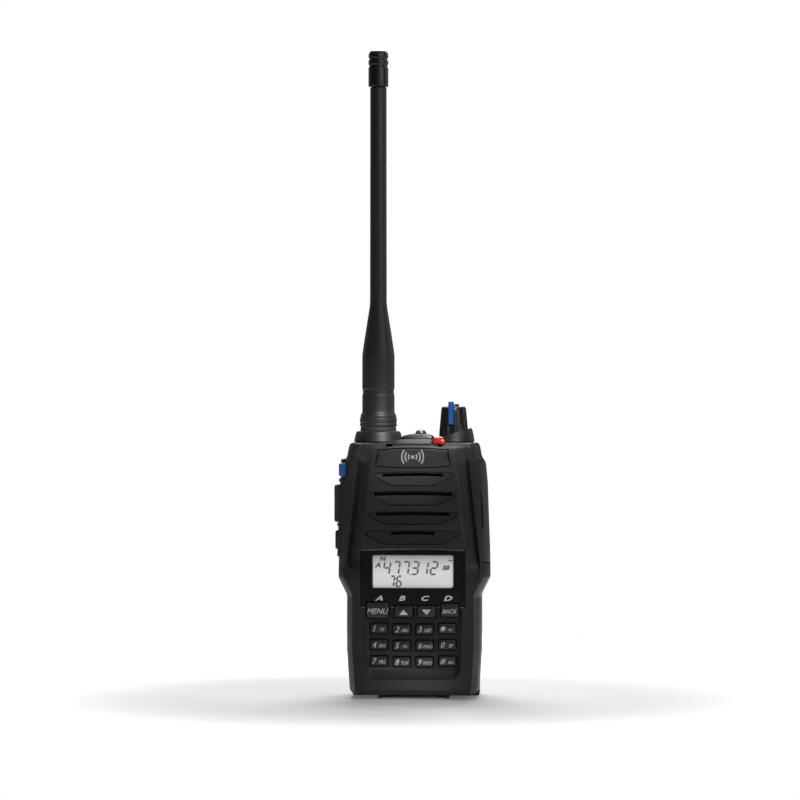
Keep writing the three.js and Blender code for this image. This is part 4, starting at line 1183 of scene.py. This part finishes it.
def build_battery():
    """The battery's hollow case with its latch foot and grips, its label and its charging contacts."""
    case = solid("v_battery_case", battery_outline(0), soft_levels(0.0, 87.9, 0.7, 4), upright, CASE)
    foot_levels = [(0.0, 0.3), (0.25, 0.05), (1.35, 0.0), (1.6, 0.25)]
    foot = solid("foot", rectangle(-14.5, 14.5, -13.0, 6.5, 0.8, 4), foot_levels, upright)
    combined(case, [foot], "UNION")
    tools = [
        box("lid_seat", (-25.4, 25.4), (3.8, 6.1), (2.0, 87.1)),
        box("latch_slot", (-9.9, 9.9), (-14.0, -0.4), (0.4, 3.0)),
        box("foot_front", (-13.4, 13.4), (-14.0, -7.0), (-1.0, 3.0)),
        solid("cells", battery_outline(1.3, 5.0), [(3.0, 0), (85.8, 0)], upright),
        solid("label_seat", rectangle(-17.5, 17.5, 6.5, 27.0, 1.2, 5), [(17.05, 0.0), (17.6, -0.15), (19, -0.15)],
              facing),
    ]
    for side in (-1, 1):
        for k in range(7):
            z = 56.0 + 3.4 * k
            levels = [(side * 26.2 - 0.35, 0.0), (side * 26.2 + 0.35, 0.0)]
            tools.append(solid(f"grip_{side}_{k}", rectangle(7.4, 14.2, z, z + 1.5, 0.7, 4), levels, sideways))
        tools.append(bar_y(f"charge_{side}", 2.1, 17.0, 19.0, side * CHARGE_X, CHARGE_Z))
    cut(case, *tools)
    shown(case, "battery_pack", "case_plastic", "battery_case", angle=28)
    label_line = rectangle(-17.2, 17.2, 6.8, 26.7, 1.0, 5)
    label = solid("v_battery_label", label_line, [(17.1, 0.0), (17.22, 0.0)], facing, LABEL)
    shown(label, "battery_pack", "case_plastic")
    studs = [bar_y(f"stud_{side}", 1.7, 16.6, 17.25, side * CHARGE_X, CHARGE_Z, BRASS, 32) for side in (-1, 1)]
    shown(joined("v_charge_contacts", studs), "battery_pack", "brass")


build_battery()

latch_line = rectangle(-9.6, 9.6, -12.6, -4.6, 0.5, 3)
latch = solid("v_battery_latch", latch_line, soft_levels(0.7, 1.3, 0.12, 2), upright, GLOSS)
shown(latch, "latch", "gloss_black", "battery_latch")


def build_latch_spring():
    """The bowed leaf spring behind the latch."""
    half, crest, ends, sheet = 8.0, -4.25, -1.1, 0.35
    across = np.linspace(-1, 1, 25)
    bow = [Vector((half * t, ends + (crest - ends) * (0.5 + 0.5 * math.cos(math.pi * t)))) for t in across]
    back = [Vector((p.x, p.y + sheet)) for p in reversed(bow)]
    spring = solid("v_latch_spring", bow + back, [(0.75, 0.0), (1.25, 0.0)], upright, STEEL)
    shown(spring, "battery_pack", "steel", "latch_spring", angle=50)
    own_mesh(spring)


build_latch_spring()


def build_clip():
    """The belt clip: a curved blade with a raised rim, sleeves round its pin and grip ridges on the tab."""
    path = [(23.5, 87.0), (23.2, 80.0), (23.0, 70.0), (23.0, 44.0), (21.1, 35.5), (18.0, 32.0), (19.1, 30.0)]
    ys, zs = [p[0] for p in path][::-1], [p[1] for p in path][::-1]
    foot, head = 30.0, 87.0
    rings = []
    for z in np.linspace(foot, head, 96):
        spread = np.clip(z + np.array([-2.0, -1.0, 0.0, 1.0, 2.0]), foot, head)
        y = float(np.mean(np.interp(spread, zs, ys)))
        end = min(z - foot, head - z)
        half = 10.2 - 3.0 * max(0.0, 1 - end / 3.0) ** 2
        thin = 1.5 * (0.55 + 0.45 * min(1.0, end / 0.8))
        ring = rounded([(-half, y), (half, y), (half, y + thin), (-half, y + thin)], [0.3, 0.3, 0.7, 0.7], 4)
        rings.append([(p.x, p.y, z) for p in ring])
    blade = stack("v_belt_clip", rings, CASE)
    sleeves = [bar_x("sleeve", 2.0, x0, x1, CLIP_PIN_Y, CLIP_PIN_Z, segments=32)
               for x0, x1 in ((-10.2, -4.2), (4.2, 10.2))]
    combined(blade, sleeves, "UNION")
    tools = [bar_x("pin_bore", 1.25, -20, 20, CLIP_PIN_Y, CLIP_PIN_Z, segments=32),
             box("spring_gap", (-4, 4), (19, 23.95), (71.8, 80.2))]
    for k in range(5):
        z = 82.0 + 1.1 * k
        tools.append(box(f"ridge_{k}", (-8.2, 8.2), (24.55, 26), (z, z + 0.45)))
    tools.append(solid("blade_panel", rectangle(-6.8, 6.8, 39.0, 67.0, 2.0, 5), [(24.1, 0.0), (26, 0.0)], facing))
    cut(blade, *tools)
    shown(blade, "clip", "case_plastic", "belt_clip")


build_clip()

# ---- CAD nodes that are shown as they are ----

AS_CAD = {
    "rear_chassis": (CAST, 0.25), "case_gasket": (RUBBER, 0.1), "keypad_mat": (RUBBER, 0.1),
    "front_board": (BOARD, 0.1),
    "main_board": (BOARD, 0.1), "side_board": (BOARD, 0.1), "shield_can": (STEEL, 0.2), "speaker": (STEEL, 0.15),
    "speaker_mesh": (CLOTH, 0.05), "microphone": (STEEL, 0.15), "antenna_connector": (BRASS, 0.1),
    "antenna_element": (BRASS, 0.1), "volume_pot": (STEEL, 0.2), "volume_shaft": (STEEL, 0.1),
    "accessory_jacks": (GLOSS, 0.1), "battery_terminals": (BRASS, 0.1), "battery_lid": (CASE_FINE, 0.2),
    "battery_cell_left": (CELL, 0.1), "battery_cell_right": (CELL, 0.1), "battery_contact_strip": (BRASS, 0.1),
    "clip_bracket": (STEEL, 0.2), "clip_pin": (STEEL, 0.15), "clip_spring": (STEEL, 0.1),
}
for name, (material, width) in AS_CAD.items():
    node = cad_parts[name]
    node.data.materials.clear()
    node.data.materials.append(material)
    step = node.modifiers.new("rounded_edges", "BEVEL")
    step.width = width * MM
    step.segments = 2
    step.limit_method = "ANGLE"
    step.angle_limit = math.radians(40)
    smoothed(node)

# ---- Floor, backdrop, lights and camera ----


def glowing(name, color, strength, diffuse=None):
    made = bpy.data.materials.new(name)
    made.use_nodes = True
    shader = made.node_tree.nodes["Principled BSDF"]
    shader.inputs["Base Color"].default_value = diffuse or (0, 0, 0, 1)
    shader.inputs["Roughness"].default_value = 0.6
    shader.inputs["Specular IOR Level"].default_value = 0.2
    shader.inputs["Emission Color"].default_value = color
    shader.inputs["Emission Strength"].default_value = strength
    return made


# The floor's glow next to the radio and away from it.
FLOOR_NEAR, FLOOR_FAR = 0.1, 1.0


def floor_finish():
    """Pale paper whose glow falls from FLOOR_FAR far off to FLOOR_NEAR next to the radio, so the lamps' real shadows
    show there; the dimmer ring this leaves round the radio is painted shade.
    """
    made = glowing("floor", (1, 1, 1, 1), 1.0, (0.8, 0.8, 0.8, 1))
    nodes, links = made.node_tree.nodes, made.node_tree.links
    length = nodes.new("ShaderNodeVectorMath")
    length.operation = "LENGTH"
    links.new(nodes.new("ShaderNodeTexCoord").outputs["Object"], length.inputs[0])
    # Painted shade: the glow fades towards the radio, which darkens the floor round it.
    ramp = nodes.new("ShaderNodeMapRange")
    ramp.interpolation_type = "SMOOTHSTEP"
    ramp.inputs["From Min"].default_value = 0.085
    ramp.inputs["From Max"].default_value = 0.25
    ramp.inputs["To Min"].default_value = FLOOR_NEAR
    ramp.inputs["To Max"].default_value = FLOOR_FAR
    links.new(length.outputs["Value"], ramp.inputs["Value"])
    links.new(ramp.outputs["Result"], nodes["Principled BSDF"].inputs["Emission Strength"])
    return made


FLOOR_RADIUS = 400.0
rim = [(FLOOR_RADIUS * math.cos(a), FLOOR_RADIUS * math.sin(a), 0) for a in np.linspace(0, math.tau, 97)[:-1]]
floor = new_object("floor", rim, [tuple(range(len(rim)))], floor_finish())
bpy.ops.mesh.primitive_uv_sphere_add(radius=9.0, segments=48, ring_count=24)
backdrop = bpy.context.object
backdrop.name = "backdrop"
backdrop.data.materials.append(glowing("backdrop", (1, 1, 1, 1), 1.0))
for ray in ("diffuse", "glossy", "transmission", "shadow"):
    setattr(backdrop, "visible_" + ray, False)

world = bpy.data.worlds.new("studio")
bpy.context.scene.world = world
world.use_nodes = True
world.node_tree.nodes["Background"].inputs["Color"].default_value = (1, 1, 1, 1)
world.node_tree.nodes["Background"].inputs["Strength"].default_value = 0.08


def lamp(light, place, aim, power):
    """Puts a light at a place, aimed at a point, and hides it from the camera."""
    light.energy = power
    obj = bpy.data.objects.new(light.name, light)
    obj.location = place
    obj.rotation_euler = (Vector(aim) - Vector(place)).to_track_quat("-Z", "Y").to_euler()
    obj.visible_camera = False
    bpy.context.scene.collection.objects.link(obj)


def softbox(name, place, aim, size, power, height=None):
    light = bpy.data.lights.new(name, "AREA")
    light.shape = "RECTANGLE"
    light.size = size
    light.size_y = height or size
    lamp(light, place, aim, power)


def spotlight(name, place, aim, degrees, power, radius=0.008):
    """A narrow beam; a larger radius would blur its edge and weaken it."""
    light = bpy.data.lights.new(name, "SPOT")
    light.spot_size = math.radians(degrees)
    light.spot_blend = 1.0
    light.shadow_soft_size = radius
    lamp(light, place, aim, power)


softbox("top_front", (0.11, -0.2, 0.35), (0, 0, 0.09), 0.2, 0.18)
softbox("right_front", (0.6, -0.55, 0.34), (0, 0, 0.08), 0.35, 0.95)
softbox("right_back", (0.6, 0.35, 0.3), (0, 0, 0.1), 0.3, 0.4)
softbox("left_back", (-0.7, 0.5, 0.4), (0, 0, 0.1), 0.4, 0.25)
softbox("top_back", (0.0, 0.22, 0.5), (0, 0, 0.0), 0.3, 2.6)
softbox("zenith", (0.02, -0.04, 0.6), (0, 0, 0.1), 0.4, 0.12, 0.2)
spotlight("crest", (0.2, -0.5, 0.5), (0, -0.015, 0.109), 4.8, 34.0)
spotlight("skirt", (0.15, -0.6, 0.12), (-0.004, -0.015, -0.004), 5.0, 8.0)

bpy.context.scene.view_settings.view_transform = "Standard"

# The camera: a long lens 1.5 m away, turned a little towards the radio's right-hand side.
AZIMUTH = math.radians(3.5)
DISTANCE = 1.5
across = Vector((math.cos(AZIMUTH), math.sin(AZIMUTH), 0))
back = Vector((math.sin(AZIMUTH), -math.cos(AZIMUTH), 0))
camera = bpy.data.objects.new("camera", bpy.data.cameras.new("camera"))
camera.data.sensor_width = 36.0
camera.data.lens = 163.8
camera.data.clip_start = 0.1
camera.data.clip_end = 30.0
camera.location = across * -0.0063 + Vector((0, 0, 0.1221)) + back * DISTANCE
camera.rotation_euler = (-back).to_track_quat("-Z", "Y").to_euler()
bpy.context.scene.collection.objects.link(camera)
bpy.context.scene.camera = camera
